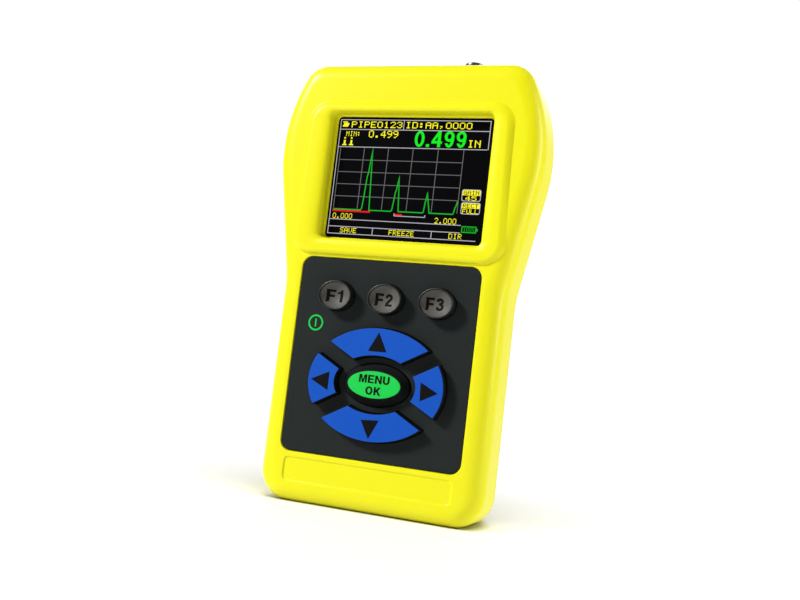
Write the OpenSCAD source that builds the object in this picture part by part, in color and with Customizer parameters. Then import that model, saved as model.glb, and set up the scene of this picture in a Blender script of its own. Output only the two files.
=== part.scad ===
// Hand-held ultrasonic thickness gauge: two-part moulded case with a wide head and a narrow grip,
// colour display, rubber keypad with eight keys, probe socket on the top edge, three cells at the back.
// Millimetres. It stands on its flat base with +Z up, and the front faces -Y.
// Depths are measured from the flat front of the grip and grow towards the back.

/* [Case] */
// Height of the case from the base to the top edge
body_h = 164; // [162:0.5:168]
// Depth of the case from the flat front to the flat back
body_d = 36; // [35.5:0.5:42]
// Width of the head at its widest
head_w = 102; // [101:0.5:108]
// Distance of the head's widest line below the top edge
head_drop = 33; // [30:0.5:36]
// Radius of the curved sides of the head
head_r = 62; // [57:0.5:64]
// Width of the grip
grip_w = 85.5; // [85:0.5:92]
// Slope of the flanks between grip and head, from the vertical
flank_angle = 10.5; // [9:0.5:13]
// Radius of the hollow where the grip meets the flanks
waist_r = 50; // [40:1:70]
// Radius of the two top corners
top_r = 10; // [9.75:0.25:14]
// Radius of the two base corners
base_r = 11; // [10.5:0.5:13]
// Thickness of the moulded walls
wall = 2.5; // [2.2:0.1:2.8]
// Radius of the front edge
front_r = 6.5; // [5:0.5:8]
// Radius of the rear edge
rear_r = 4; // [3.5:0.25:4.25]
// Radius of the base's front and rear edges
foot_r = 6.5; // [5:0.5:7]
// Depth of the joint line between the two halves
split_d = 18; // [17.8:0.1:18.4]
// How far the rear half's sides lean in before the rear edge
rear_lean = 4.5; // [3:0.25:4.75]

/* [Display] */
// Width of the visible window
window_w = 60.6; // [56:0.2:62]
// Height of the visible window
window_h = 46; // [42:0.2:47]
// Corner radius of the window
window_r = 1.5; // [1:0.1:3]
// Sideways place of the window's centre
window_x = 1.7; // [0:0.1:2]
// Distance of the window's centre below the top edge
window_drop = 43.3; // [42.5:0.1:44.5]
// Depth of the window's front surface
window_d = 3.4; // [3.2:0.1:3.6]
// Thickness of the window
lens_t = 1.8; // [1.2:0.1:2]
// How far the window reaches behind its opening on each side
lens_lap = 2; // [1.5:0.1:2.2]
// Thickness of the foam gasket behind the window
lens_gasket_t = 1.2; // [0.8:0.1:1.4]
// Width of the display module
lcd_w = 66; // [65:0.5:67]
// Height of the display module
lcd_h = 49; // [47:0.5:49.5]
// Thickness of the display module
lcd_t = 3.6; // [2.8:0.1:4]

/* [Bezel] */
// Sideways place of the raised frame's centre
bezel_x = 0.5; // [0:0.1:1]
// Width of the raised frame at its top
bezel_top_w = 76.8; // [75:0.2:80]
// Width of the raised frame at its bottom
bezel_base_w = 79.2; // [76:0.2:82]
// Distance of the raised frame's lower edge below the top edge
bezel_drop = 72.9; // [72:0.1:73.2]
// Height of the raised frame
bezel_h = 56.2; // [55:0.2:58]
// Corner radius of the raised frame
bezel_r = 7; // [5:0.5:9]
// How far the frame stands out from the front
bezel_out = 1.3; // [0.8:0.1:2]
// How much wider the recess is at its mouth, on each side
recess_slope = 2.2; // [1:0.1:3]

/* [Keypad] */
// Distance of the keypad panel from the grip's sides
pad_side = 8.3; // [8.05:0.05:9.75]
// Height of the keypad panel
pad_h = 71.6; // [70:0.1:71.8]
// Corner radius of the keypad panel
pad_r = 4; // [3:0.5:6]
// Height of the panel's lower edge
pad_z = 18.2; // [18:0.1:18.4]
// How far the panel lies below the front
pad_sink = 0.3; // [0.1:0.1:0.6]
// Gap between the panel and its opening
pad_gap = 0.15; // [0.1:0.05:0.3]
// Thickness of the rubber flange behind the wall
pad_flange_t = 1.5; // [1.2:0.1:1.8]
// How far the rubber flange reaches behind the wall
pad_flange_lap = 1.7; // [1.2:0.1:1.8]
// Wall of the rubber skirt that stands on the board
skirt_t = 1.6; // [1.2:0.1:2]

/* [Keys] */
// Sideways place of the keys' middle line
key_x = 0.6; // [0:0.1:1]
// Clearance round each key
key_gap = 0.3; // [0.25:0.05:0.5]
// How far a key can be pressed
key_travel = 1.2; // [0.8:0.1:1.3]
// How far each key's flange reaches under the panel
key_lap = 1; // [0.8:0.1:1.2]
// Thickness of each key's flange
key_flange_t = 1; // [0.8:0.1:1.2]
// Radius of each key's plunger
plunger_r = 2.4; // [1.8:0.1:2.6]
// Height of the round-topped function keys above the front
f_key_out = 3.5; // [3.4:0.1:4.5]
// Width of a function key
f_key_w = 12.8; // [11:0.1:13.4]
// Height of a function key
f_key_h = 10.6; // [9:0.1:11]
// Spacing of the function keys
f_key_pitch = 19.2; // [18.4:0.1:19.6]
// Height of the function keys above the panel's lower edge
f_key_up = 57.6; // [57:0.1:60]
// Radius of the dished tops of the function keys
f_key_dish_r = 26; // [20:1:40]
// Depth of the dished tops of the function keys
f_key_dish = 0.6; // [0.3:0.1:0.8]
// Height of the arrow keys above the front
nav_out = 3; // [2:0.1:3.3]
// Height of the arrow ring's centre above the panel's lower edge
nav_up = 27.15; // [26.8:0.05:27.6]
// Width of the arrow ring
nav_w = 51.4; // [49:0.2:53]
// Height of the arrow ring
nav_h = 40.1; // [39:0.1:40.6]
// Width of the arrow ring's inner edge
nav_inner_w = 30.6; // [30:0.1:31.4]
// Height of the arrow ring's inner edge
nav_inner_h = 20.3; // [19.8:0.1:21]
// Width of the channels between the arrow keys
nav_gap = 5.8; // [5.4:0.1:6.2]
// Slope of the channels between the arrow keys
nav_angle = 28.8; // [27:0.2:31]
// Width of the middle key at the panel
menu_w = 25; // [24:0.2:25.4]
// Height of the middle key at the panel
menu_h = 15; // [14:0.2:15.2]
// Width of the middle key's flat top
menu_top_w = 20.6; // [19:0.2:22]
// Height of the middle key's flat top
menu_top_h = 10.2; // [9:0.2:12]

/* [Label recess] */
// Width of the shallow recess under the keypad
label_w = 64; // [50:0.5:66]
// Height of the shallow recess
label_h = 8.3; // [6:0.1:8.6]
// Depth of the shallow recess
label_d = 0.4; // [0.2:0.1:0.6]
// Height of the recess's lower edge
label_z = 7.8; // [7.4:0.1:8]
// Corner radius of the recess
label_r = 1.5; // [1:0.1:3]

/* [Board] */
// Thickness of the board
board_t = 1.6; // [1:0.1:1.8]
// Distance of the board's screws from the grip's sides
post_side = 4.55; // [4.5:0.05:4.65]
// Radius of the posts that carry the board
post_r = 1.8; // [1.6:0.05:1.85]
// Radius of the board screws' shanks
board_screw_r = 0.8; // [0.7:0.05:0.9]
// Radius of the board screws' heads
board_screw_head_r = 1.6; // [1.4:0.05:1.7]
// Height of the screening can behind the board
can_h = 3.6; // [2.5:0.1:4]
// Diameter of the sounder
sounder_dia = 9; // [7:0.5:12]
// Height of the sounder
sounder_h = 4; // [3:0.1:4.4]

/* [Probe socket] */
// Sideways place of the probe socket
socket_x = 19.3; // [17:0.1:20]
// Radius of the plug's hole
socket_bore_r = 2.5; // [2:0.05:2.6]
// Depth of the plug's hole
socket_bore_l = 6; // [5:0.1:7]
// Outer radius of the socket's barrel
socket_r = 3.5; // [3.4:0.05:3.6]
// How far the barrel stands above the top edge
socket_out = 2.7; // [2.4:0.1:4]
// Length of the barrel inside the case
socket_in = 9; // [8:0.1:9.4]
// Radius of the socket's flange and nut
socket_flange_r = 4.8; // [4.4:0.05:4.85]
// Thickness of the socket's flange
socket_flange_t = 2; // [1.2:0.1:2.4]
// Thickness of the nut on the top edge
socket_nut_t = 1.1; // [0.8:0.1:1.5]
// Thickness of the sealing ring under the top wall
socket_seal_t = 0.8; // [0.5:0.1:1]
// Radius of the socket's middle contact
contact_r = 0.6; // [0.5:0.05:0.7]
// Radius of the inner lead
lead_r = 0.9; // [0.7:0.05:0.95]

/* [Batteries] */
// Diameter of a cell
cell_dia = 14.5; // [14:0.1:14.6]
// Length of a cell with its stud
cell_l = 50.5; // [48:0.1:51]
// Number of cells
cell_count = 3; // [3]
// Gap between two cells
cell_space = 0.5; // [0.3:0.1:0.7]
// Height of the battery bay's floor above the base
bay_z = 18; // [17.8:0.1:18.4]
// Depth of the battery bay's inner face
bay_d = 18.6; // [18.6:0.05:18.9]
// Thickness of the battery bay's walls
bay_wall = 2.6; // [2.2:0.1:2.8]
// Thickness of the contact plates
plate_t = 0.5; // [0.3:0.1:0.7]
// Length of a contact spring
spring_l = 6.5; // [5:0.1:7.5]
// Thickness of the battery door
door_t = 2; // [1.6:0.1:2]
// Thickness of the door's seal
door_seal_t = 0.8; // [0.5:0.1:0.8]
// How far the door reaches past the bay at its two screws
door_tab = 8; // [7.4:0.1:8.2]
// Radius of the door's corners
door_r = 3; // [2:0.5:4]
// Radius of the door screws' shanks
door_screw_r = 1.2; // [1:0.05:1.3]
// Radius of the door screws' heads
door_screw_head_r = 2.3; // [2:0.05:2.4]

/* [Case screws] */
// Sideways place of the case screws
screw_x = 29.5; // [29.2:0.1:29.8]
// Height of the two lower case screws
screw_low = 10; // [9.8:0.1:10.2]
// Distance of the two upper case screws from the top edge
screw_top = 14; // [13.6:0.1:14]
// Radius of the case screws' shanks
screw_r = 1.45; // [1.2:0.05:1.6]
// Radius of the case screws' heads
screw_head_r = 2.5; // [2.2:0.05:2.6]
// Length of the case screws' shanks
screw_l = 15; // [13:0.5:16]
// Depth of the seats of the case screws' heads
screw_seat_d = 23; // [22:0.5:24]

/* [Seal] */
// Width of the seal between the two halves
seal_w = 0.8; // [0.6:0.05:0.9]
// Thickness of the seal between the two halves
seal_t = 0.8; // [0.6:0.05:1]

/* [Hidden] */

$fn = 48;
// Small amount by which cuts run past a face
cut = 1;
// Clearance of round pieces and plates in their seats
fit = 0.05;
// Clearance of loose plates in their recesses
loose = 0.2;
// Strip of each flat face that belongs to the curved skin round it
flat_strip = 1;
// Steps on each stretch of the case outline, and on each rounded edge
base_steps = 6;
waist_steps = 4;
head_steps = 8;
top_steps = 5;
edge_steps = 6;
// Steps round an oval
oval_steps = 64;

// The origin is under the middle of the whole depth, keys included
front_y = -(body_d - f_key_out) / 2;

// Centres of the outline's arcs: hollow at the waist, and top corner tangent to the head's side
head_z = body_h - head_drop;
head_cx = head_w / 2 - head_r;
waist_cx = grip_w / 2 + waist_r;
foot_lean = rear_lean * (body_d - foot_r - split_d) / (body_d - rear_r - split_d);
flank_run = head_cx + head_r * cos(flank_angle) - grip_w / 2 - waist_r * (1 - cos(flank_angle));
waist_z = head_z - (head_r + waist_r) * sin(flank_angle) - flank_run / tan(flank_angle);
top_rise = body_h - top_r - head_z;
top_cx = head_cx + sqrt(pow(head_r - top_r, 2) - pow(top_rise, 2));
top_angle = asin(top_rise / (head_r - top_r));

// Display stack, from the window to the board
window_z = body_h - window_drop;
bezel_z = body_h - bezel_drop;
lens_w = window_w + 2 * lens_lap;
lens_h = window_h + 2 * lens_lap;
lens_back_d = window_d + lens_t;
lcd_d = lens_back_d + lens_gasket_t;
board_d = lcd_d + lcd_t;
lens_rim = 2.2;
window_lip = 0.8;
ribbon_w = 20;
ribbon_t = 0.3;
ribbon_drop = 2.6;

// Keypad
pad_w = grip_w - 2 * pad_side;
pad_mid_z = pad_z + pad_h / 2;
flange_w = pad_w + 2 * pad_flange_lap;
flange_h = pad_h + 2 * pad_flange_lap;
flange_back_d = wall + pad_flange_t;
key_rest_d = flange_back_d + key_gap;
contact_pad_t = 0.2;
contact_space = 0.4;
plunger_end_d = board_d - contact_pad_t - contact_space - key_travel;
nav_z = pad_z + nav_up;
f_key_z = pad_z + f_key_up;
menu_step = 0.5;

// Board
post_x = grip_w / 2 - post_side;
lcd_side = 1.7;
head_post_x = window_x + lcd_w / 2 + lcd_side + post_r;
board_edge = 1.8;
board_rim = 0.4;
board_head_rim = 0.8;
board_z0 = pad_z - pad_flange_lap - board_rim;
board_z1 = window_z + lcd_h / 2 + board_head_rim;
board_back_d = board_d + board_t;
post_low = 6;
post_top = 4;
post_places = [for (side = [-1, 1]) each [[side * post_x, board_z0 + post_low],
    [side * head_post_x, board_z1 - post_top]]];
board_screw_head_t = 1.4;
board_screw_l = 6;
can_w = 40;
can_l = 26;
can_side = 6;
can_drop = 7;
can_x = socket_x - can_side;
can_top = board_z1 - can_drop;
sounder_x = -25;
sounder_drop = 16;
sounder_z = board_z1 - sounder_drop;

// Socket, whose inner lead lies just behind the board
lead_gap = 0.1;
socket_d = board_back_d + lead_gap + lead_r;
top_inner_z = body_h - wall;
socket_top_z = body_h + socket_out;
socket_floor_z = socket_top_z - socket_bore_l;
socket_flange_z = top_inner_z - socket_seal_t;
socket_low_z = top_inner_z - socket_in;
socket_hole_gap = 0.1;
socket_hole_r = socket_r + socket_hole_gap;
socket_step = 0.6;
insulator_r = socket_bore_r - socket_step;
contact_tail = 4;
contact_top_sink = 1;

// Battery bay, at the back of the grip
bay_side = 0.6;
bay_w = cell_count * cell_dia + (cell_count - 1) * cell_space + 2 * bay_side;
bay_h = cell_l + spring_l + 2 * plate_t;
bay_mid_z = bay_z + bay_h / 2;
cell_gap = 0.15;
cell_d = bay_d + cell_gap + cell_dia / 2;
door_d = body_d - door_t;
door_seat_d = door_d - door_seal_t;
door_w = bay_w + 2 * bay_wall;
door_h = bay_h + 2 * door_tab;
door_frame = 1.8;
door_frame_t = 2.2;
bay_floor_t = 1.4;
door_screw_z = [bay_z - door_tab / 2, bay_z + bay_h + door_tab / 2];
door_screw_l = 8;
door_screw_head_t = 1.2;
door_boss_r = 3;
stud_r = 2.75;
stud_l = 1;
leaf_w = 8;
leaf_l = 8;
leaf_t = 0.4;
leaf_bend = 1.5;
plate_w = bay_w - 2 * fit;
plate_side = 1.5;
plate_d0 = bay_d + plate_side;
plate_d1 = door_seat_d - plate_side;

// Case screws
screw_z = [screw_low, body_h - screw_top];
screw_head_t = 2.5;
front_boss_r = 3.6;
screw_head_gap = 0.35;
rear_boss_wall = 1.5;
rear_boss_r = screw_head_r + screw_head_gap + rear_boss_wall;
seal_in = 0.85;
seal_slack = 0.05;

yellow = "gold";
charcoal = "#34373a";
key_grey = "#8d8a84";
key_blue = "#2458c8";
key_green = "#35c556";
metal = "silver";
rubber = "#222222";

// Inset of a rounded edge of radius r at depth t under its flat face
function edge_inset(t, r) = t >= r ? 0 : r - sqrt(r * r - (r - t) * (r - t));

// Points on an arc, first one left out when skip is 1
function arc_points(cx, cz, r, a0, a1, steps, skip = 0) =
    [for (i = [skip:steps]) let (a = a0 + (a1 - a0) * i / steps) [cx + r * cos(a), cz + r * sin(a)]];

// Right half of the case outline, base to top, inset all round, with its own inset at the base
function half_outline(inset, foot) = concat(
    arc_points(grip_w / 2 - base_r, base_r - inset + foot, base_r - inset, -90, 0, base_steps),
    arc_points(waist_cx, waist_z, waist_r + inset, 180, 180 - flank_angle, waist_steps),
    arc_points(head_cx, head_z, head_r - inset, -flank_angle, top_angle, head_steps),
    arc_points(top_cx, body_h - top_r, top_r - inset, top_angle, 90, top_steps, 1));

// Whole outline, right side up and left side down
function outline(inset, foot) =
    let (half = half_outline(inset, foot), last = len(half) - 1)
    concat(half, [for (i = [last:-1:0]) [-half[i][0], half[i][1]]]);

// Outline ring at a depth, as points in space
function ring(depth, inset, foot) = [for (p = outline(inset, foot)) [p[0], front_y + depth, p[1]]];

// Depth and insets of the front half's skin, t inside the outer face, from a strip of the flat to the joint line
function front_skin(t) = concat(
    [[t, front_r + flat_strip, foot_r + flat_strip]],
    [for (i = [0:edge_steps]) let (a = 90 * i / edge_steps, r = front_r - t, depth = r * (1 - cos(a)))
        [t + depth, t + r * (1 - sin(a)), t + edge_inset(depth, foot_r - t)]],
    [[split_d, t, t]]);

// The same for the rear half, from the joint line to a strip of the flat back
function rear_skin(t) = concat([[split_d, t, t], [body_d - foot_r, t + foot_lean, t]],
    [for (i = [0:edge_steps]) let (a = 90 * i / edge_steps, r = rear_r - t, depth = r * (1 - sin(a)))
        [body_d - t - depth, t + rear_lean + r * (1 - cos(a)), t + edge_inset(depth, foot_r - t)]],
    [[body_d - t, rear_lean + rear_r + flat_strip, foot_r + flat_strip]]);

function reversed(list) = [for (i = [len(list) - 1:-1:0]) list[i]];

// Hollow wall through a chain of rings whose last ring meets the first
module ring_chain(rings) {
    n = len(rings[0]);
    m = len(rings);
    points = [for (r = rings) each r];
    sides = [for (k = [0:m - 1], i = [0:n - 1]) let (j = (i + 1) % n, up = (k + 1) % m)
        each [[k * n + i, k * n + j, up * n + j], [k * n + i, up * n + j, up * n + i]]];
    polyhedron(points, sides);
}

// Flat piece drawn in X and Z, between two depths
module slab(d0, d1) {
    translate([0, front_y + d1, 0]) rotate([90, 0, 0]) linear_extrude(d1 - d0) children();
}

// Round piece along the depth
module rod(x, z, r, d0, d1) {
    translate([x, front_y + d0, z]) rotate([-90, 0, 0]) cylinder(r = r, h = d1 - d0);
}

// Round piece along the height
module post(x, depth, r, z0, z1) {
    translate([x, front_y + depth, z0]) cylinder(r = r, h = z1 - z0);
}

// Rectangle with round corners about a middle point
module soft_rect(x, z, w, h, r) {
    translate([x, z]) {
        square([w - 2 * r, h], center = true);
        square([w, h - 2 * r], center = true);
        for (i = [-1, 1], j = [-1, 1]) translate([i * (w / 2 - r), j * (h / 2 - r)]) circle(r);
    }
}

// Oval with the given width and height
module oval(x, z, w, h) {
    translate([x, z]) polygon([for (i = [0:oval_steps - 1]) let (a = 360 * i / oval_steps)
        [w / 2 * cos(a), h / 2 * sin(a)]]);
}

// Wedge between two channels of the arrow ring, side 0 right, 1 up, 2 left, 3 down
module wedge(side, grow) {
    reach = nav_w;
    half_gap = nav_gap / 2 - grow;
    level = side % 2 == 0;
    apex = level ? half_gap / sin(nav_angle) : half_gap / cos(nav_angle);
    run = reach * cos(nav_angle);
    rise = reach * sin(nav_angle);
    turn = side < 2 ? 0 : 180;
    rotate(turn) polygon(level ? [[apex, 0], [apex + run, -rise], [apex + run, rise]]
        : [[0, apex], [run, apex + rise], [-run, apex + rise]]);
}

// Outline of one arrow key, grown all round
module arrow_outline(side, grow) {
    translate([key_x, nav_z]) intersection() {
        difference() {
            oval(0, 0, nav_w + 2 * grow, nav_h + 2 * grow);
            oval(0, 0, nav_inner_w - 2 * grow, nav_inner_h - 2 * grow);
        }
        wedge(side, grow);
    }
}

// Outline of one function key, grown all round
module f_key_outline(place, grow) {
    oval(key_x + place * f_key_pitch, f_key_z, f_key_w + 2 * grow, f_key_h + 2 * grow);
}

// Outline of the middle key, grown all round
module menu_outline(grow) {
    oval(key_x, nav_z, menu_w + 2 * grow, menu_h + 2 * grow);
}

// Raised frame round the display
module bezel_block() {
    top_z = bezel_z + bezel_h - bezel_r;
    base_z = bezel_z + bezel_r;
    hull() for (side = [-1, 1]) {
        bezel_corner(bezel_x + side * (bezel_top_w / 2 - bezel_r), top_z);
        bezel_corner(bezel_x + side * (bezel_base_w / 2 - bezel_r), base_z);
    }
}

module bezel_corner(x, z) {
    rod(x, z, bezel_r, 0, wall / 2, $fn = 32);
    rod(x, z, bezel_r - bezel_out, -bezel_out, wall / 2, $fn = 32);
}

// Sloped recess that leads down to the window
module window_recess() {
    hull() {
        slab(window_d - window_lip, window_d) soft_rect(window_x, window_z, window_w, window_h, window_r);
        slab(-bezel_out - fit, -bezel_out)
            soft_rect(window_x, window_z, window_w + 2 * recess_slope, window_h + 2 * recess_slope,
                window_r + recess_slope);
    }
}

module front_case() {
    color(yellow) difference() {
        union() {
            ring_chain([for (s = concat(front_skin(0), reversed(front_skin(wall)))) ring(s[0], s[1], s[2])]);
            slab(0, wall) polygon(outline(front_r + flat_strip / 2, foot_r + flat_strip / 2));
            bezel_block();
            slab(wall / 2, lens_back_d)
                soft_rect(window_x, window_z, lens_w + 2 * lens_rim, lens_h + 2 * lens_rim, lens_rim);
            for (x = [-screw_x, screw_x], z = screw_z) rod(x, z, front_boss_r, wall / 2, split_d);
            for (p = post_places) rod(p[0], p[1], post_r, wall / 2, board_d);
        }
        window_recess();
        slab(window_d - window_lip - cut, window_d + cut)
            soft_rect(window_x, window_z, window_w, window_h, window_r);
        slab(window_d, lens_back_d + cut)
            soft_rect(window_x, window_z, lens_w + 2 * loose, lens_h + 2 * loose, window_r);
        slab(-cut, wall + cut) soft_rect(0, pad_mid_z, pad_w, pad_h, pad_r);
        slab(-cut, label_d) soft_rect(0, label_z + label_h / 2, label_w, label_h, label_r);
        post(socket_x, socket_d, socket_hole_r, top_inner_z - cut, body_h + cut);
        for (x = [-screw_x, screw_x], z = screw_z)
            rod(x, z, screw_r + fit, screw_seat_d - screw_l - cut, split_d + cut);
        for (p = post_places)
            rod(p[0], p[1], board_screw_r + fit, board_back_d - board_screw_l - cut / 2, board_d + cut);
    }
}

module rear_case() {
    color(yellow) difference() {
        union() {
            ring_chain([for (s = concat(reversed(rear_skin(wall)), rear_skin(0))) ring(s[0], s[1], s[2])]);
            slab(body_d - wall, body_d)
                polygon(outline(rear_lean + rear_r + flat_strip / 2, foot_r + flat_strip / 2));
            slab(bay_d - bay_floor_t, body_d - wall / 2)
                soft_rect(0, bay_mid_z, bay_w + 2 * bay_wall, bay_h + 2 * bay_wall, bay_wall);
            slab(door_seat_d - door_frame_t, body_d - wall / 2)
                soft_rect(0, bay_mid_z, door_w + 2 * door_frame, door_h + 2 * door_frame, door_r + door_frame);
            for (x = [-screw_x, screw_x], z = screw_z) rod(x, z, rear_boss_r, split_d, body_d - wall / 2);
            for (z = door_screw_z) rod(0, z, door_boss_r, door_d - door_screw_l - wall, door_seat_d);
        }
        slab(bay_d, body_d + cut) square_bay();
        slab(door_seat_d, body_d + cut) soft_rect(0, bay_mid_z, door_w + 2 * loose, door_h + 2 * loose, door_r + loose);
        for (x = [-screw_x, screw_x], z = screw_z) {
            rod(x, z, screw_r + loose, split_d - cut, screw_seat_d + cut);
            rod(x, z, screw_head_r + screw_head_gap, screw_seat_d, body_d + cut);
        }
        for (z = door_screw_z) rod(0, z, door_screw_r + fit, door_d - door_screw_l, door_seat_d + cut);
        seal_ring(seal_in - seal_slack, seal_w + 2 * seal_slack, split_d - cut, split_d + seal_t);
    }
}

module square_bay() {
    translate([-bay_w / 2, bay_z]) square([bay_w, bay_h]);
}

// Band that follows the case outline, inset from it, between two depths
module seal_ring(inset, width, d0, d1) {
    slab(d0, d1) difference() {
        polygon(outline(inset, inset));
        polygon(outline(inset + width, inset + width));
    }
}

module case_seal() {
    color(rubber) seal_ring(seal_in, seal_w, split_d, split_d + seal_t);
}

module display_window() {
    color("black") slab(window_d, lens_back_d) soft_rect(window_x, window_z, lens_w, lens_h, window_r);
}

module window_gasket() {
    color(rubber) slab(lens_back_d, lcd_d) difference() {
        soft_rect(window_x, window_z, lens_w, lens_h, window_r);
        soft_rect(window_x, window_z, window_w, window_h, window_r);
    }
}

module lcd_module() {
    color("dimgray") slab(lcd_d, board_d)
        translate([window_x, window_z]) square([lcd_w, lcd_h], center = true);
}

// Flat flexible strip from the display's lower edge to the board
module lcd_ribbon() {
    low_z = window_z - lcd_h / 2 - ribbon_drop;
    ribbon_d = board_d - lcd_t / 2;
    color("orange") {
        slab(ribbon_d, ribbon_d + ribbon_t)
            translate([window_x - ribbon_w / 2, low_z]) square([ribbon_w, ribbon_drop]);
        slab(ribbon_d, board_d)
            translate([window_x - ribbon_w / 2, low_z - ribbon_t]) square([ribbon_w, ribbon_t]);
    }
}

module keypad_panel() {
    color(charcoal) difference() {
        union() {
            slab(pad_sink, wall) soft_rect(0, pad_mid_z, pad_w - 2 * pad_gap, pad_h - 2 * pad_gap, pad_r - pad_gap);
            slab(wall, flange_back_d) soft_rect(0, pad_mid_z, flange_w, flange_h, pad_r);
            slab(flange_back_d, board_d) difference() {
                soft_rect(0, pad_mid_z, flange_w, flange_h, pad_r);
                soft_rect(0, pad_mid_z, flange_w - 2 * skirt_t, flange_h - 2 * skirt_t, pad_r - skirt_t);
            }
        }
        slab(pad_sink - cut, flange_back_d + cut) {
            for (place = [-1:1]) f_key_outline(place, key_gap);
            for (side = [0:3]) arrow_outline(side, key_gap);
            menu_outline(key_gap);
        }
    }
}

// Plunger with its carbon pill behind a key
module plunger(x, z) {
    rod(x, z, plunger_r, key_rest_d + key_flange_t, plunger_end_d);
}

module f_key(place) {
    x = key_x + place * f_key_pitch;
    color(key_grey) difference() {
        union() {
            slab(-f_key_out, key_rest_d) f_key_outline(place, 0);
            slab(key_rest_d, key_rest_d + key_flange_t) f_key_outline(place, key_lap);
            plunger(x, f_key_z);
        }
        translate([x, front_y - f_key_out - f_key_dish_r + f_key_dish, f_key_z]) sphere(f_key_dish_r);
    }
}

module key_f1() { f_key(-1); }
module key_f2() { f_key(0); }
module key_f3() { f_key(1); }

module arrow_key(side) {
    out_x = [1, 0, -1, 0][side] * (nav_w + nav_inner_w) / 4;
    out_z = [0, 1, 0, -1][side] * (nav_h + nav_inner_h) / 4;
    color(key_blue) {
        slab(-nav_out, key_rest_d) arrow_outline(side, 0);
        slab(key_rest_d, key_rest_d + key_flange_t) arrow_outline(side, key_lap);
        plunger(key_x + out_x, nav_z + out_z);
    }
}

module key_right() { arrow_key(0); }
module key_up() { arrow_key(1); }
module key_left() { arrow_key(2); }
module key_down() { arrow_key(3); }

module key_menu() {
    color(key_green) {
        slab(-menu_step, key_rest_d) menu_outline(0);
        slab(-nav_out, -menu_step) oval(key_x, nav_z, menu_top_w, menu_top_h);
        slab(key_rest_d, key_rest_d + key_flange_t) menu_outline(key_lap);
        plunger(key_x, nav_z);
    }
}

// Middle points of the eight keys
function key_places() = concat(
    [for (place = [-1:1]) [key_x + place * f_key_pitch, f_key_z]],
    [for (side = [-1, 1]) [key_x + side * (nav_w + nav_inner_w) / 4, nav_z]],
    [for (side = [-1, 1]) [key_x, nav_z + side * (nav_h + nav_inner_h) / 4]],
    [[key_x, nav_z]]);

module main_board() {
    color("seagreen") difference() {
        union() {
            slab(board_d, board_back_d) {
                board_plate(post_x + board_edge, board_z0, bezel_z);
                board_plate(head_post_x + board_edge, bezel_z, board_z1);
            }
            for (p = key_places()) rod(p[0], p[1], plunger_r, board_d - contact_pad_t, board_d + board_t / 2);
        }
        for (p = post_places) rod(p[0], p[1], board_screw_r + loose, board_d - cut, board_back_d + cut);
    }
}

// Stretch of the board between two heights
module board_plate(half_w, z0, z1) {
    translate([-half_w, z0]) square([2 * half_w, z1 - z0]);
}

module screening_can() {
    color(metal) slab(board_back_d, board_back_d + can_h)
        translate([can_x - can_w / 2, can_top - can_l]) square([can_w, can_l]);
}

module sounder() {
    color(rubber) rod(sounder_x, sounder_z, sounder_dia / 2, board_back_d, board_back_d + sounder_h);
}

module probe_socket() {
    color(metal) difference() {
        union() {
            post(socket_x, socket_d, socket_r, socket_low_z, socket_top_z);
            post(socket_x, socket_d, socket_flange_r, socket_flange_z - socket_flange_t, socket_flange_z);
        }
        post(socket_x, socket_d, socket_bore_r, socket_floor_z, socket_top_z + cut);
        post(socket_x, socket_d, insulator_r + fit, socket_low_z - cut, socket_floor_z + cut);
    }
}

module socket_nut() {
    color(metal) difference() {
        post(socket_x, socket_d, socket_flange_r, body_h, body_h + socket_nut_t);
        post(socket_x, socket_d, socket_r + fit, body_h - cut, body_h + socket_nut_t + cut);
    }
}

module socket_seal() {
    color(rubber) difference() {
        post(socket_x, socket_d, socket_flange_r, socket_flange_z, top_inner_z);
        post(socket_x, socket_d, socket_r + fit, socket_flange_z - cut, top_inner_z + cut);
    }
}

module socket_insulator() {
    color("white") difference() {
        post(socket_x, socket_d, insulator_r, socket_low_z, socket_floor_z);
        post(socket_x, socket_d, contact_r + fit, socket_low_z - cut, socket_floor_z + cut);
    }
}

module socket_contact() {
    color("goldenrod") post(socket_x, socket_d, contact_r, socket_low_z - contact_tail, socket_floor_z - contact_top_sink);
}

module probe_lead() {
    color(rubber) post(socket_x, socket_d, lead_r, can_top, socket_low_z - contact_tail);
}

module battery_door() {
    color(yellow) difference() {
        slab(door_d, body_d) soft_rect(0, bay_mid_z, door_w, door_h, door_r);
        for (z = door_screw_z) {
            rod(0, z, door_screw_r + loose, door_d - cut, body_d + cut);
            rod(0, z, door_screw_head_r + loose, body_d - door_screw_head_t, body_d + cut);
        }
    }
}

module door_seal() {
    color(rubber) slab(door_seat_d, door_d) difference() {
        soft_rect(0, bay_mid_z, door_w, door_h, door_r);
        square_bay();
        for (z = door_screw_z) translate([0, z]) circle(door_screw_r + loose);
    }
}

// One cell: its stud points up or down
module battery(place) {
    x = (place - (cell_count - 1) / 2) * (cell_dia + cell_space);
    up = place % 2 == 0;
    low_z = bay_z + plate_t + (up ? spring_l : 0);
    can_z = up ? low_z : low_z + stud_l;
    color("slategray") {
        post(x, cell_d, cell_dia / 2, can_z, can_z + cell_l - stud_l);
        post(x, cell_d, stud_r, low_z, low_z + cell_l);
    }
}

module battery_1() { battery(0); }
module battery_2() { battery(1); }
module battery_3() { battery(2); }

module contact_plates() {
    color(metal) for (z = [bay_z, bay_z + bay_h - plate_t])
        slab(plate_d0, plate_d1) translate([-plate_w / 2, z]) square([plate_w, plate_t]);
}

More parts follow.
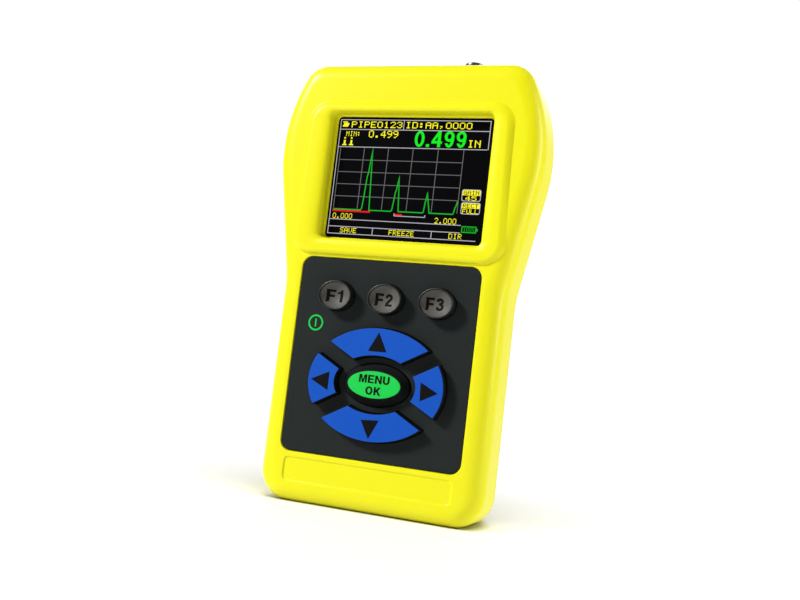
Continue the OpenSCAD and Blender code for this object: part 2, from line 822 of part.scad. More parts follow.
// Bent leaf springs between the plates and the cells' flat ends
module contact_springs() {
    color(metal) for (place = [0:cell_count - 1]) {
        x = (place - (cell_count - 1) / 2) * (cell_dia + cell_space);
        up = place % 2 == 0;
        foot_z = up ? bay_z + plate_t : bay_z + bay_h - plate_t;
        translate([x - leaf_w / 2, front_y + cell_d, foot_z]) mirror([0, 0, up ? 0 : 1])
            rotate([90, 0, 90]) linear_extrude(leaf_w) leaf_profile();
    }
}

// Side view of a leaf spring: foot, rising blade and flat tip
module leaf_profile() {
    half = leaf_l / 2;
    bend = half - leaf_bend;
    tip = spring_l - leaf_t;
    polygon([[-half, 0], [half, 0], [half, leaf_t], [-bend, leaf_t], [half, tip],
        [half, spring_l], [-half, spring_l], [-half, tip], [bend, tip], [-half, leaf_t]]);
}

// Screw along the depth: head towards the back, shank towards the front
module screw(x, z, seat_d, r, length, head_r, head_t) {
    rod(x, z, r, seat_d - length, seat_d);
    rod(x, z, head_r, seat_d, seat_d + head_t);
}

module case_screws() {
    color("gray") for (x = [-screw_x, screw_x], z = screw_z)
        screw(x, z, screw_seat_d, screw_r, screw_l, screw_head_r, screw_head_t);
}

module board_screws() {
    color("gray") for (p = post_places)
        screw(p[0], p[1], board_back_d, board_screw_r, board_screw_l, board_screw_head_r, board_screw_head_t);
}

module door_screws() {
    color("gray") for (z = door_screw_z) screw(0, z, body_d - door_screw_head_t, door_screw_r,
        door_screw_l - door_screw_head_t - fit, door_screw_head_r, door_screw_head_t);
}

front_case();
rear_case();
case_seal();
display_window();
window_gasket();
lcd_module();
lcd_ribbon();
keypad_panel();
key_f1();
key_f2();
key_f3();
key_up();
key_down();
key_left();
key_right();
key_menu();
main_board();
screening_can();
sounder();
probe_socket();
socket_nut();
socket_seal();
socket_insulator();
socket_contact();
probe_lead();
battery_door();
door_seal();
battery_1();
battery_2();
battery_3();
contact_plates();
contact_springs();
case_screws();
board_screws();
door_screws();
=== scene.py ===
"""Looks of a hand-held ultrasonic thickness gauge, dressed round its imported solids.

Outlines are drawn in millimetres in the front view, sideways and height. Depths are measured inwards from the case's
flat front, so that what stands out from it has a depth below zero.
"""

import logging
import math
from collections.abc import Callable, Iterator, Sequence
from contextlib import AbstractContextManager, contextmanager
from dataclasses import dataclass, field
from enum import Enum

import bpy
import numpy as np
from mathutils import Matrix, Vector


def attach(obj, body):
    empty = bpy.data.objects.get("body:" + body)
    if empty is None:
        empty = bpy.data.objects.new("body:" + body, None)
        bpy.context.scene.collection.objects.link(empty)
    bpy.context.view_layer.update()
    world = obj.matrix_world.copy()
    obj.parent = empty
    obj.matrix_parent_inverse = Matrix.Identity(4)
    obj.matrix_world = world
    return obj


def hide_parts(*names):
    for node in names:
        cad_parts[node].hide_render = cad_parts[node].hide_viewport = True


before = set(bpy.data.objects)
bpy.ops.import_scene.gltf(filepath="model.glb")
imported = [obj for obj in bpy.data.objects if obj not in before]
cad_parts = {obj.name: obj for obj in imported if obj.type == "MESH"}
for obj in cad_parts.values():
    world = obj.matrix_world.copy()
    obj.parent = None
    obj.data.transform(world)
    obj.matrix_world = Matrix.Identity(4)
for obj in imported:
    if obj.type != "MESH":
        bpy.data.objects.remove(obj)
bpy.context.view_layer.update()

LOG = logging.getLogger("gauge")
MM = 0.001
# Place of the flat front along Y, depth of the joint between the halves, width of its line, wall of the halves.
FRONT_Y, JOINT, SEAM, WALL = -16.25, 18.0, 0.25, 2.5
# Points nearer than this are merged, least cosine at a corner of a band, width of the screen's lines.
MERGE, MITRE, SCREEN_LINE = 0.0008, 0.45, 0.28
# Corners of a rectangle: sideways, upwards and first angle.
CORNERS = ((1, -1, -90), (1, 1, 0), (-1, 1, 90), (-1, -1, 180))
# Sockets of the node that mixes colours.
MIX_FIRST, MIX_SECOND, MIX_RESULT = 6, 7, 2
# Detail of the fine and the broad noise, strength of the relief, share of a lit tone that the room's light gets.
FINE_DETAIL, BROAD_DETAIL, BUMP_STRENGTH, LIT_SHARE = 3.0, 4.0, 0.6, 0.05

Obj = bpy.types.Object
Point = tuple[float, float]
Loop = list[Point]
Spot = tuple[float, float, float]
Colour = tuple[float, float, float]
# Middle, width and height, or left, low, right and high.
Box = tuple[float, float, float, float]
# Growth and depth of one outline after the other, or a list of places.
Edge = tuple[Point, ...]
# Outline that grows with its argument.
Shape = Callable[[float], Loop]
# Text with its left, low, right and high edge.
Word = tuple[str, float, float, float, float]


def bow(cx: float, cz: float, a: float, b: float, start: float, end: float, steps: int = 14, skip: int = 0) -> Loop:
    """Part of an oval with half axes a and b, from one angle in degrees to another, less its first points."""
    angles = [math.radians(start + (end - start) * i / steps) for i in range(skip, steps + 1)]
    return [(cx + a * math.cos(t), cz + b * math.sin(t)) for t in angles]


def arc(cx: float, cz: float, r: float, start: float, end: float, steps: int, skip: int = 0) -> Loop:
    """Part of a circle, as a bow."""
    return bow(cx, cz, r, r, start, end, steps, skip)


def oval(x: float, z: float, w: float, h: float, steps: int = 72) -> Loop:
    """Whole oval by its middle, width and height."""
    return bow(x, z, w / 2, h / 2, 0, 360, steps)[:-1]


def disc(x: float, z: float, r: float, steps: int = 40) -> Loop:
    """Whole circle by its middle and radius."""
    return oval(x, z, 2 * r, 2 * r, steps)


def soft_rect(box: Box, r: float, grow: float = 0.0, steps: int = 7) -> Loop:
    """Rectangle by its middle, width and height, grown all round, with round corners of a radius."""
    (x, z), (a, b) = box[:2], (size / 2 + grow - r for size in box[2:])
    return [p for sx, sz, turn in CORNERS for p in arc(x + sx * a, z + sz * b, r, turn, turn + 90, steps)]


def rounded(box: Box, r: float) -> Shape:
    """Shape of a rectangle whose round corners grow with it."""
    return lambda grow: soft_rect(box, r + grow, grow)


def box_loop(x0: float, z0: float, x1: float, z1: float) -> Loop:
    """Plain rectangle between two corners."""
    return [(x0, z0), (x1, z0), (x1, z1), (x0, z1)]


def band(path: Sequence[Point], w: float) -> Loop:
    """Closed outline of a line of one width along a path.

    Args:
        path: Points along the middle of the line.
        w: Width of the line.

    Returns:
        The outline's points.
    """
    spots = [Vector(p) for p in path]
    left: Loop = []
    right: Loop = []
    for i, spot in enumerate(spots):
        before = (spot - spots[i - 1]).normalized() if i else (spots[1] - spot).normalized()
        after = (spots[i + 1] - spot).normalized() if i + 1 < len(spots) else before
        mid = (before + after).normalized() if (before + after).length > 1e-4 else before
        side = Vector((-mid.y, mid.x)) * (w / 2) / max(mid.dot(after), MITRE)
        left.append(tuple(spot + side))
        right.append(tuple(spot - side))
    return left + right[::-1]


def pick(obj: Obj) -> None:
    """Make one object the only selected and active one.

    Args:
        obj: The object.
    """
    bpy.ops.object.select_all(action="DESELECT")
    obj.select_set(True)
    bpy.context.view_layer.objects.active = obj


@contextmanager
def editing(obj: Obj) -> Iterator[None]:
    """Open one object in edit mode, edges selectable, and leave that mode at the end.

    Args:
        obj: The object.

    Returns:
        What a with statement takes.
    """
    pick(obj)
    bpy.context.tool_settings.mesh_select_mode = (False, True, False)
    bpy.ops.object.mode_set(mode="EDIT")
    yield
    bpy.ops.object.mode_set(mode="OBJECT")


def settle(obj: Obj, angle: float) -> Obj:
    """Merge, turn outwards, smooth and bring a mesh from millimetres to its true size.

    Args:
        obj: Mesh object drawn in millimetres.
        angle: Edges sharper than this many degrees stay sharp.

    Returns:
        The same object.
    """
    with editing(obj):
        bpy.ops.mesh.select_all(action="SELECT")
        bpy.ops.mesh.remove_doubles(threshold=MERGE)
        bpy.ops.mesh.normals_make_consistent(inside=False)
    obj.scale = (MM, MM, MM)
    bpy.ops.object.transform_apply(location=True, rotation=True, scale=True)
    bpy.ops.object.shade_smooth_by_angle(angle=math.radians(angle))
    weigh = obj.modifiers.new("even_normals", "WEIGHTED_NORMAL")
    weigh.keep_sharp = True
    bpy.ops.object.modifier_apply(modifier=weigh.name)
    return obj


def join(parts: Sequence[Obj], name: str) -> Obj:
    """Join mesh objects into one piece.

    Args:
        parts: Objects to join.
        name: Name of the piece.

    Returns:
        The joined object.
    """
    pick(parts[0])
    for part in parts[1:]:
        part.select_set(True)
    if len(parts) > 1:
        bpy.ops.object.join()
    parts[0].name = name
    parts[0].data.name = name
    return parts[0]


def drawn(name: str, curve: bpy.types.Curve, loops: Sequence[Sequence[Spot]]) -> Obj:
    """Draw closed outlines as a curve and make it a mesh.

    Args:
        name: Name of the object.
        curve: Empty curve.
        loops: Points of each outline.

    Returns:
        The mesh object, in millimetres.
    """
    for spots in loops:
        spline = curve.splines.new("POLY")
        spline.points.add(len(spots) - 1)
        for point, spot in zip(spline.points, spots):
            point.co = (*spot, 1)
        spline.use_cyclic_u = True
    obj = bpy.data.objects.new(name, curve)
    bpy.context.scene.collection.objects.link(obj)
    pick(obj)
    bpy.ops.object.convert(target="MESH")
    return bpy.context.view_layer.objects.active


class LoopMesh:
    """Mesh grown from closed outlines that are bridged, filled and capped, in millimetres."""

    lift: float = 10.0

    def __init__(self, name: str) -> None:
        """Start an empty mesh.

        Args:
            name: Name of the object.
        """
        self.name = name
        self.rows: list[list[Spot]] = []
        self.spans: list[tuple[int, int]] = []
        self.obj: Obj | None = None

    def ring(self, spots: list[Spot]) -> int:
        """Add an outline of points in space.

        Args:
            spots: Its points.

        Returns:
            Number of its row.
        """
        first = sum(len(r) for r in self.rows)
        self.rows.append(spots)
        self.spans.append((first, len(spots)))
        return len(self.rows) - 1

    def row(self, loop: Loop, depth: float | Sequence[float]) -> int:
        """Add an outline at one depth, or at one for each point, and return the number of its row."""
        depths = [depth] * len(loop) if isinstance(depth, (int, float)) else depth
        return self.ring([(x, d + FRONT_Y, z) for (x, z), d in zip(loop, depths)])

    def stack(self, shape: Shape, edge: Sequence[Point]) -> list[int]:
        """Add a shape once for each growth and depth of an edge and return the numbers of the rows."""
        return [self.row(shape(grow), depth) for grow, depth in edge]

    def start(self) -> None:
        """Turn the outlines into edges of one mesh."""
        curve = bpy.data.curves.new(self.name, "CURVE")
        curve.dimensions = "3D"
        self.obj = drawn(self.name, curve, self.rows)

    def chosen(self, rows: Sequence[int]) -> AbstractContextManager[None]:
        """Select the edges of some rows and nothing else.

        Args:
            rows: Numbers of the rows.

        Returns:
            Edit mode, for a with statement.
        """
        mesh = self.obj.data
        ends = np.empty(len(mesh.edges) * 2, dtype=np.int32)
        mesh.edges.foreach_get("vertices", ends)
        ends = ends.reshape(-1, 2)
        reach = np.abs(ends[:, 0] - ends[:, 1])
        edges = np.zeros(len(ends), dtype=bool)
        points = np.zeros(len(mesh.vertices), dtype=bool)
        for first, count in (self.spans[r] for r in rows):
            inside = ((ends >= first) & (ends < first + count)).all(axis=1)
            edges |= inside & ((reach == 1) | (reach == count - 1))
            points[first:first + count] = True
        mesh.polygons.foreach_set("select", np.zeros(len(mesh.polygons), dtype=bool))
        mesh.vertices.foreach_set("select", points)
        mesh.edges.foreach_set("select", edges)
        return editing(self.obj)

    def place(self, row: int, step: float) -> None:
        """Put one row at a distance from its own plane, along its normal.

        Args:
            row: Number of the row.
            step: The distance.
        """
        first, count = self.spans[row]
        spots = np.array(self.rows[row])
        arms = spots - spots.mean(0)
        normal = np.cross(arms, np.roll(arms, -1, axis=0)).sum(0)
        spots += normal / np.linalg.norm(normal) * step
        for point, spot in zip(self.obj.data.vertices[first:first + count], spots):
            point.co = spot

    def bridge(self, *rows: int) -> None:
        """Join each row to the next one, which is lifted meanwhile so that no pair shares a plane.

        Args:
            *rows: Numbers of the rows in order.
        """
        for pair in zip(rows, rows[1:]):
            self.place(pair[1], self.lift)
            with self.chosen(pair):
                bpy.ops.mesh.bridge_edge_loops()
            self.place(pair[1], 0.0)

    def fill(self, *rows: int) -> None:
        """Fill the flat field between an outer row and the rows inside it."""
        with self.chosen(rows):
            bpy.ops.mesh.fill(use_beauty=True)

    def cap(self, row: int) -> None:
        """Close one row with a single face."""
        with self.chosen([row]):
            bpy.ops.mesh.edge_face_add()

    def pit(self, rows: Sequence[int]) -> None:
        """Join rows and close the last one."""
        self.bridge(*rows)
        self.cap(rows[-1])

    def done(self, angle: float = 38) -> Obj:
        """Finish the mesh and return its object."""
        return settle(self.obj, angle)

    def solid(self, rows: Sequence[int]) -> Obj:
        """Join all rows, close both ends and finish the mesh.

        Args:
            rows: Numbers of the rows in order.

        Returns:
            The finished object.
        """
        self.start()
        self.pit(rows)
        self.cap(rows[0])
        return self.done()


def turned(name: str, cx: float, cy: float, profile: Sequence[Point]) -> Obj:
    """Ring-shaped piece turned about an upright axis.

    Args:
        name: Name of the piece.
        cx: Axis, sideways.
        cy: Axis, along Y.
        profile: Closed profile as radius and height.

    Returns:
        The finished object.
    """
    mesh = LoopMesh(name)
    rows = [mesh.ring([(x, y, z) for x, y in disc(cx, cy, r, 48)]) for r, z in profile]
    mesh.start()
    mesh.bridge(*rows, rows[0])
    return mesh.done(30)


def flat_shape(name: str, loops: Sequence[Loop], depth: float, thick: float) -> Obj:
    """Thin flat shape that faces the front, with any holes among its loops.

    Args:
        name: Name of the shape.
        loops: Outlines, sideways and height.
        depth: Depth of its front face.
        thick: Thickness behind that face.

    Returns:
        The object, in metres.
    """
    curve = bpy.data.curves.new(name, "CURVE")
    curve.dimensions = "2D"
    curve.fill_mode = "BOTH"
    curve.extrude = thick / 2
    obj = drawn(name, curve, [[(x, z, 0) for x, z in loop] for loop in loops])
    obj.rotation_euler = (math.pi / 2, 0, 0)
    obj.location = (0, FRONT_Y + depth + thick / 2, 0)
    bpy.ops.object.transform_apply(location=True, rotation=True, scale=True)
    return settle(obj, 20)


def lay_on(sheet: Obj, ground: Obj, thick: float = 0.00006) -> None:
    """Lay a flat sheet on a curved surface behind it and give it a thickness.

    Args:
        sheet: Flat faces in front of the surface.
        ground: Object with the surface.
        thick: Thickness of the print in metres.
    """
    with editing(sheet):
        bpy.ops.mesh.select_all(action="SELECT")
        bpy.ops.mesh.quads_convert_to_tris()
        bpy.ops.mesh.subdivide(number_cuts=4)
    wrap = sheet.modifiers.new("wrap", "SHRINKWRAP")
    wrap.target = ground
    wrap.wrap_method = "PROJECT"
    wrap.use_project_y = True
    wrap.use_positive_direction = True
    wrap.use_negative_direction = False
    wrap.offset = thick * 0.5
    bpy.ops.object.modifier_apply(modifier=wrap.name)
    shell = sheet.modifiers.new("shell", "SOLIDIFY")
    shell.thickness = thick
    shell.offset = 0.0
    bpy.ops.object.modifier_apply(modifier=shell.name)


@dataclass(frozen=True)
class Alphabet:
    """Bold letters of the key legends and dot letters of the display.

    A dot letter has seven rows from the top, each written as one digit of base 32 whose bits are its five dots.
    """

    stroke: float = 0.2
    space: float = 0.13
    lines: int = 7
    pitch: int = 6
    full: float = 0.95
    dots: dict[str, str] = field(default_factory=lambda: {
        "0": "EHHHHHE", "1": "4C4444E", "2": "EH1248V", "3": "EH161HE", "4": "26AIV22", "5": "VGU11HE",
        "9": "EHHF12C", "A": "EHHVHHH", "C": "EHGGGHE", "D": "UHHHHHU", "E": "VGGUGGV", "F": "VGGUGGG",
        "G": "EHGNHHF", "I": "E44444E", "L": "GGGGGGV", "M": "HRLLHHH", "N": "HPLJHHH", "P": "UHHUGGG",
        "R": "UHHUKIH", "S": "FGGE11U", "T": "V444444", "U": "HHHHHHE", "V": "HHHHHA4", "Z": "V1248GV",
        ":": "0CC0CC0", ".": "00000CC", ",": "0000C48", "%": "OP248J3"})

    def bold(self, letter: str) -> tuple[float, list[Loop]]:
        """One bold letter of height one.

        Args:
            letter: The letter.

        Returns:
            Its width and its loops, the outer one first.
        """
        two = band([(0.1, 0.66), (0.11, 0.76), (0.17, 0.86), (0.3, 0.91), (0.43, 0.87), (0.5, 0.76), (0.49, 0.66),
                    (0.42, 0.55), (0.28, 0.4), (0.17, 0.25)], self.stroke)
        high = band([(0.09, 0.72), (0.14, 0.85), (0.3, 0.91), (0.44, 0.86), (0.5, 0.74), (0.44, 0.61),
                     (0.25, 0.54)], self.stroke)
        low = band([(0.25, 0.54), (0.44, 0.49), (0.52, 0.36), (0.51, 0.22), (0.44, 0.13), (0.3, 0.09), (0.15, 0.14),
                    (0.09, 0.29)], self.stroke)
        shapes: dict[str, tuple[float, list[Loop]]] = {
            "F": (0.62, [[(0, 0), (0.21, 0), (0.21, 0.4), (0.55, 0.4), (0.55, 0.58), (0.21, 0.58), (0.21, 0.82),
                          (0.62, 0.82), (0.62, 1), (0, 1)]]),
            "E": (0.66, [[(0, 0), (0.66, 0), (0.66, 0.18), (0.21, 0.18), (0.21, 0.42), (0.61, 0.42), (0.61, 0.59),
                          (0.21, 0.59), (0.21, 0.82), (0.65, 0.82), (0.65, 1), (0, 1)]]),
            "M": (0.86, [[(0, 0), (0.19, 0), (0.19, 0.76), (0.345, 0), (0.515, 0), (0.67, 0.76), (0.67, 0),
                          (0.86, 0), (0.86, 1), (0.58, 1), (0.43, 0.3), (0.28, 1), (0, 1)]]),
            "N": (0.74, [[(0, 0), (0.2, 0), (0.2, 0.66), (0.53, 0), (0.74, 0), (0.74, 1), (0.54, 1), (0.54, 0.35),
                          (0.21, 1), (0, 1)]]),
            "K": (0.76, [[(0, 0), (0.21, 0), (0.21, 0.31), (0.31, 0.43), (0.51, 0), (0.76, 0), (0.46, 0.58),
                          (0.74, 1), (0.49, 1), (0.21, 0.6), (0.21, 1), (0, 1)]]),
            "U": (0.72, [[(0, 1)] + bow(0.36, 0.37, 0.36, 0.38, 180, 360) + [(0.72, 1), (0.51, 1)]
                         + bow(0.36, 0.37, 0.15, 0.19, 360, 180) + [(0.21, 1)]]),
            "O": (0.8, [oval(0.4, 0.5, 0.8, 1.04, 40), oval(0.4, 0.5, 0.38, 0.66, 40)]),
            "1": (0.4, [[(0.19, 0), (0.4, 0), (0.4, 1), (0.25, 1), (0.2, 0.9), (0.12, 0.84), (0, 0.82), (0, 0.68),
                         (0.19, 0.68)]]),
            "2": (0.6, [two[:9] + [(0.25, 0.18), (0.6, 0.18), (0.6, 0), (0.03, 0), (0.04, 0.16)] + two[10:]]),
            "3": (0.62, [high[:5] + [(0.5, 0.55)] + low[2:] + high[7:]]),
            "0": (0.6, [oval(0.3, 0.5, 0.6, 1.02, 40), oval(0.3, 0.5, 0.26, 0.7, 40)]),
            "4": (0.64, [[(0.36, 0), (0.55, 0), (0.55, 0.23), (0.64, 0.22), (0.64, 0.38), (0.55, 0.37), (0.55, 1),
                          (0.37, 1), (0, 0.38), (0, 0.22), (0.36, 0.24)], [(0.36, 0.39), (0.36, 0.7), (0.18, 0.39)]]),
            "9": (0.6, [bow(0.3, 0.68, 0.3, 0.33, 0, 285) + bow(0.3, 0.5, 0.11, 0.35, -30, -135)
                        + bow(0.3, 0.5, 0.29, 0.51, -150, 0), oval(0.3, 0.68, 0.24, 0.34, 40)]),
            ".": (0.2, [box_loop(0, 0, 0.2, 0.18)]),
        }
        return shapes[letter]

    def legend(self, name: str, text: str, at: Box, depth: float, thick: float) -> Obj:
        """Bold legend that fills a box on the front.

        Args:
            name: Name of the piece.
            text: What it says.
            at: Left, low, right and high edge.
            depth: Depth of the letters' front.
            thick: Their thickness.

        Returns:
            The joined object.
        """
        x0, z0, x1, z1 = at
        letters = [self.bold(c) for c in text]
        scale = (x1 - x0) / (sum(w for w, _ in letters) + self.space * (len(letters) - 1))
        parts = []
        for i, (w, loops) in enumerate(letters):
            placed = [[(x0 + x * scale, z0 + z * (z1 - z0)) for x, z in loop] for loop in loops]
            parts.append(flat_shape(f"{name}_{i}", placed, depth, thick))
            x0 += (w + self.space) * scale
        return join(parts, name)

    def dotted(self, text: str, at: Box, thin: float) -> list[Loop]:
        """Bars that spell a word in dots.

        Args:
            text: What it says.
            at: Left, low, right and high edge.
            thin: Share of a dot left out at each side of a bar.

        Returns:
            One rectangle for each run of dots.
        """
        x0, z0, x1, z1 = at
        step, rise = (x1 - x0) / (self.pitch * len(text) - 1), (z1 - z0) / self.lines
        bars: list[Loop] = []
        for i, letter in enumerate(text):
            for j, code in enumerate(self.dots[letter]):
                row = f"{int(code, 32):05b}0"
                edges = [k for k in range(self.pitch) if (row[k] == "1") != (k > 0 and row[k - 1] == "1")]
                left, top = x0 + self.pitch * i * step, z1 - j * rise
                bars += [box_loop(left + (a + thin) * step, top - rise * self.full, left + (b - thin) * step, top)
                         for a, b in zip(edges[::2], edges[1::2])]
        return bars


ALPHABET = Alphabet()


def node(tree: bpy.types.NodeTree, kind: str, **values: float) -> bpy.types.Node:
    """New shader node with values for its inputs.

    Args:
        tree: Tree of the node.
        kind: End of its type's name.
        **values: Value of each input, whose name has _ in place of a space.

    Returns:
        The node.
    """
    made = tree.nodes.new(f"ShaderNode{kind}")
    for name, value in values.items():
        made.inputs[name.replace("_", " ")].default_value = value
    return made


@dataclass(frozen=True)
class Finish:
    """Surface of one material: two tones, gloss, grain and relief."""

    name: str
    tone: Colour
    second: Colour
    rough: Point
    grain: float
    relief: float
    blotch: float
    metallic: float = 0.0
    coat: float = 0.0
    coat_rough: float = 0.1
    specular: float = 0.5
    glow: float = 0.0

    def material(self) -> bpy.types.Material:
        """Procedural material of this finish, made once.

        Returns:
            The material.
        """
        found = bpy.data.materials.get(self.name)
        if found is not None:
            return found
        made = bpy.data.materials.new(self.name)
        made.use_nodes = True
        tree = made.node_tree
        shader = tree.nodes["Principled BSDF"]
        place = node(tree, "TexCoord").outputs["Object"]
        fine = node(tree, "TexNoise", Scale=self.grain, Detail=FINE_DETAIL)
        broad = node(tree, "TexNoise", Scale=self.blotch, Detail=BROAD_DETAIL)
        gloss = node(tree, "MapRange", To_Min=self.rough[0], To_Max=self.rough[1])
        bump = node(tree, "Bump", Strength=BUMP_STRENGTH, Distance=self.relief)
        tint = node(tree, "Mix")
        tint.data_type = "RGBA"
        share = LIT_SHARE if self.glow else 1.0
        for socket, tone in ((MIX_FIRST, self.tone), (MIX_SECOND, self.second)):
            tint.inputs[socket].default_value = (*(c * share for c in tone), 1)
        for source, target in (
                (place, fine.inputs["Vector"]), (place, broad.inputs["Vector"]),
                (broad.outputs["Fac"], tint.inputs[0]), (tint.outputs[MIX_RESULT], shader.inputs["Base Color"]),
                (fine.outputs["Fac"], gloss.inputs["Value"]), (gloss.outputs["Result"], shader.inputs["Roughness"]),
                (fine.outputs["Fac"], bump.inputs["Height"]), (bump.outputs["Normal"], shader.inputs["Normal"])):
            tree.links.new(source, target)
        values = {"Metallic": self.metallic, "Specular IOR Level": self.specular, "Coat Weight": self.coat,
                  "Coat Roughness": self.coat_rough}
        if self.glow:
            values |= {"Emission Color": (*self.tone, 1), "Emission Strength": self.glow}
        for name, value in values.items():
            shader.inputs[name].default_value = value
        return made


def lit(name: str, tone: Colour, second: Colour, glow: float = 0.95) -> Finish:
    """Finish of something lit on the display."""
    return Finish(name, tone, second, (0.3, 0.4), 900, 0.000002, 60, specular=0.1, glow=glow)


class Finishes(Enum):
    """Finishes of the gauge's pieces."""

    CASE = Finish("moulded_yellow", (0.775, 0.738, 0.004), (0.75, 0.71, 0.003), (0.30, 0.42), 2600, 0.000012, 30,
                  coat=0.05, coat_rough=0.25, specular=0.24)
    PANEL = Finish("charcoal_rubber", (0.0128, 0.016, 0.0158), (0.0158, 0.019, 0.0186), (0.62, 0.8), 2200, 0.00003,
                   60, specular=0.08)
    KEY_WALL = Finish("black_rubber", (0.0055, 0.0066, 0.0066), (0.0075, 0.0086, 0.0086), (0.55, 0.72), 2400,
                      0.00002, 90, specular=0.06)
    KEY_RIM = Finish("rim_rubber", (0.0085, 0.01, 0.01), (0.0105, 0.012, 0.012), (0.34, 0.46), 2400, 0.00001, 90,
                     specular=0.45)
    KEY_GREY = Finish("grey_print", (0.078, 0.074, 0.065), (0.094, 0.088, 0.077), (0.45, 0.6), 3000, 0.00002, 120,
                      specular=0.2)
    KEY_BLUE = Finish("blue_print", (0.004, 0.07, 0.42), (0.006, 0.076, 0.45), (0.42, 0.54), 3000, 0.000015, 100,
                      specular=0.1)
    KEY_GREEN = Finish("green_print", (0.01, 0.52, 0.064), (0.013, 0.55, 0.072), (0.42, 0.54), 3000, 0.000015, 100,
                       specular=0.1)
    LEGEND = Finish("black_print", (0.0015, 0.0015, 0.0018), (0.003, 0.003, 0.0034), (0.6, 0.75), 3000, 0.00001, 100,
                    specular=0.08)
    LENS = Finish("dark_window", (0.0012, 0.0012, 0.0016), (0.002, 0.002, 0.0026), (0.2, 0.26), 900, 0.000002, 30,
                  specular=0.05)
    SCREEN_WHITE = lit("lit_white", (0.5, 0.49, 0.56), (0.4, 0.4, 0.45), 0.9)
    SCREEN_GREY = lit("lit_grey", (0.15, 0.15, 0.15), (0.1, 0.1, 0.1), 0.9)
    SCREEN_YELLOW = lit("lit_yellow", (0.88, 0.82, 0.02), (0.7, 0.6, 0.02), 1.15)
    SCREEN_GREEN = lit("lit_green", (0.004, 0.86, 0.012), (0.01, 0.5, 0.02))
    SCREEN_TRACE = lit("lit_trace", (0.006, 0.46, 0.02), (0.01, 0.3, 0.03))
    SCREEN_RED = lit("lit_red", (0.86, 0.006, 0.012), (0.5, 0.01, 0.016))
    METAL = Finish("dark_nickel", (0.12, 0.12, 0.125), (0.17, 0.17, 0.175), (0.26, 0.4), 1800, 0.000006, 200, 1.0)
    STEEL = Finish("screw_steel", (0.32, 0.31, 0.30), (0.42, 0.41, 0.40), (0.28, 0.42), 2600, 0.00001, 300, 1.0)
    BRASS = Finish("contact_brass", (0.62, 0.45, 0.16), (0.7, 0.52, 0.2), (0.25, 0.35), 2200, 0.000006, 200, 1.0)
    BOARD = Finish("green_board", (0.012, 0.13, 0.05), (0.016, 0.16, 0.06), (0.4, 0.5), 1200, 0.00002, 150)
    RIBBON = Finish("amber_film", (0.55, 0.22, 0.02), (0.6, 0.26, 0.03), (0.3, 0.4), 1200, 0.000006, 100)
    SEAL = Finish("seal_rubber", (0.012, 0.012, 0.012), (0.018, 0.018, 0.018), (0.6, 0.75), 2500, 0.00002, 80)
    CELL = Finish("cell_sleeve", (0.05, 0.055, 0.065), (0.06, 0.066, 0.078), (0.3, 0.42), 1500, 0.000005, 60)
    INSULATOR = Finish("pale_insulator", (0.8, 0.79, 0.76), (0.84, 0.83, 0.8), (0.4, 0.5), 1800, 0.00001, 80)
    FLOOR = Finish("pale_floor", (0.93, 0.93, 0.93), (0.95, 0.95, 0.95), (0.7, 0.8), 60, 0.00005, 3)


def dress(obj: Obj, finish: Finishes, slot: str, body: str = "case", replaces: Sequence[str] = ()) -> Obj:
    """Give a piece its finish, its body and the node it stands for.

    Args:
        obj: The piece.
        finish: Its finish.
        slot: Material slot in the record; not used.
        body: Body that it moves with.
        replaces: Nodes that it stands for.

    Returns:
        The same piece.
    """
    obj.data.materials.clear()
    obj.data.materials.append(finish.value.material())
    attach(obj, body)
    if replaces:
        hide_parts(*replaces)
    LOG.info("%s rides %s, %d faces", obj.name, body, len(obj.data.polygons))
    return obj


@dataclass
class CaseOutline:
    """Outline of the case in the front view."""

    height: float = 164.0
    head_w: float = 102.0
    head_drop: float = 33.0
    head_r: float = 62.0
    grip_w: float = 85.5
    flank: float = 10.5
    waist_r: float = 50.0
    top_r: float = 10.0
    base_r: float = 11.0

    def loop(self, inset: float, foot: float | None = None) -> Loop:
        """Outline moved inwards.

        Args:
            inset: Inset all round.
            foot: Inset at the base, the same when not given.

        Returns:
            The points, right side up and left side down.
        """
        foot = inset if foot is None else foot
        head_z = self.height - self.head_drop
        head_cx = self.head_w / 2 - self.head_r
        tilt = math.radians(self.flank)
        run = head_cx + self.head_r * math.cos(tilt) - self.grip_w / 2 - self.waist_r * (1 - math.cos(tilt))
        waist_z = head_z - (self.head_r + self.waist_r) * math.sin(tilt) - run / math.tan(tilt)
        rise = self.height - self.top_r - head_z
        top_cx = head_cx + math.sqrt((self.head_r - self.top_r) ** 2 - rise ** 2)
        turn = math.degrees(math.asin(rise / (self.head_r - self.top_r)))
        half = arc(self.grip_w / 2 - self.base_r, self.base_r - inset + foot, self.base_r - inset, -90, 0, 12)
        half += arc(self.grip_w / 2 + self.waist_r, waist_z, self.waist_r + inset, 180, 180 - self.flank, 8)
        half += arc(head_cx, head_z, self.head_r - inset, -self.flank, turn, 22)
        half += arc(top_cx, self.height - self.top_r, self.top_r - inset, turn, 90, 10, 1)
        return half + [(-x, z) for x, z in reversed(half)]


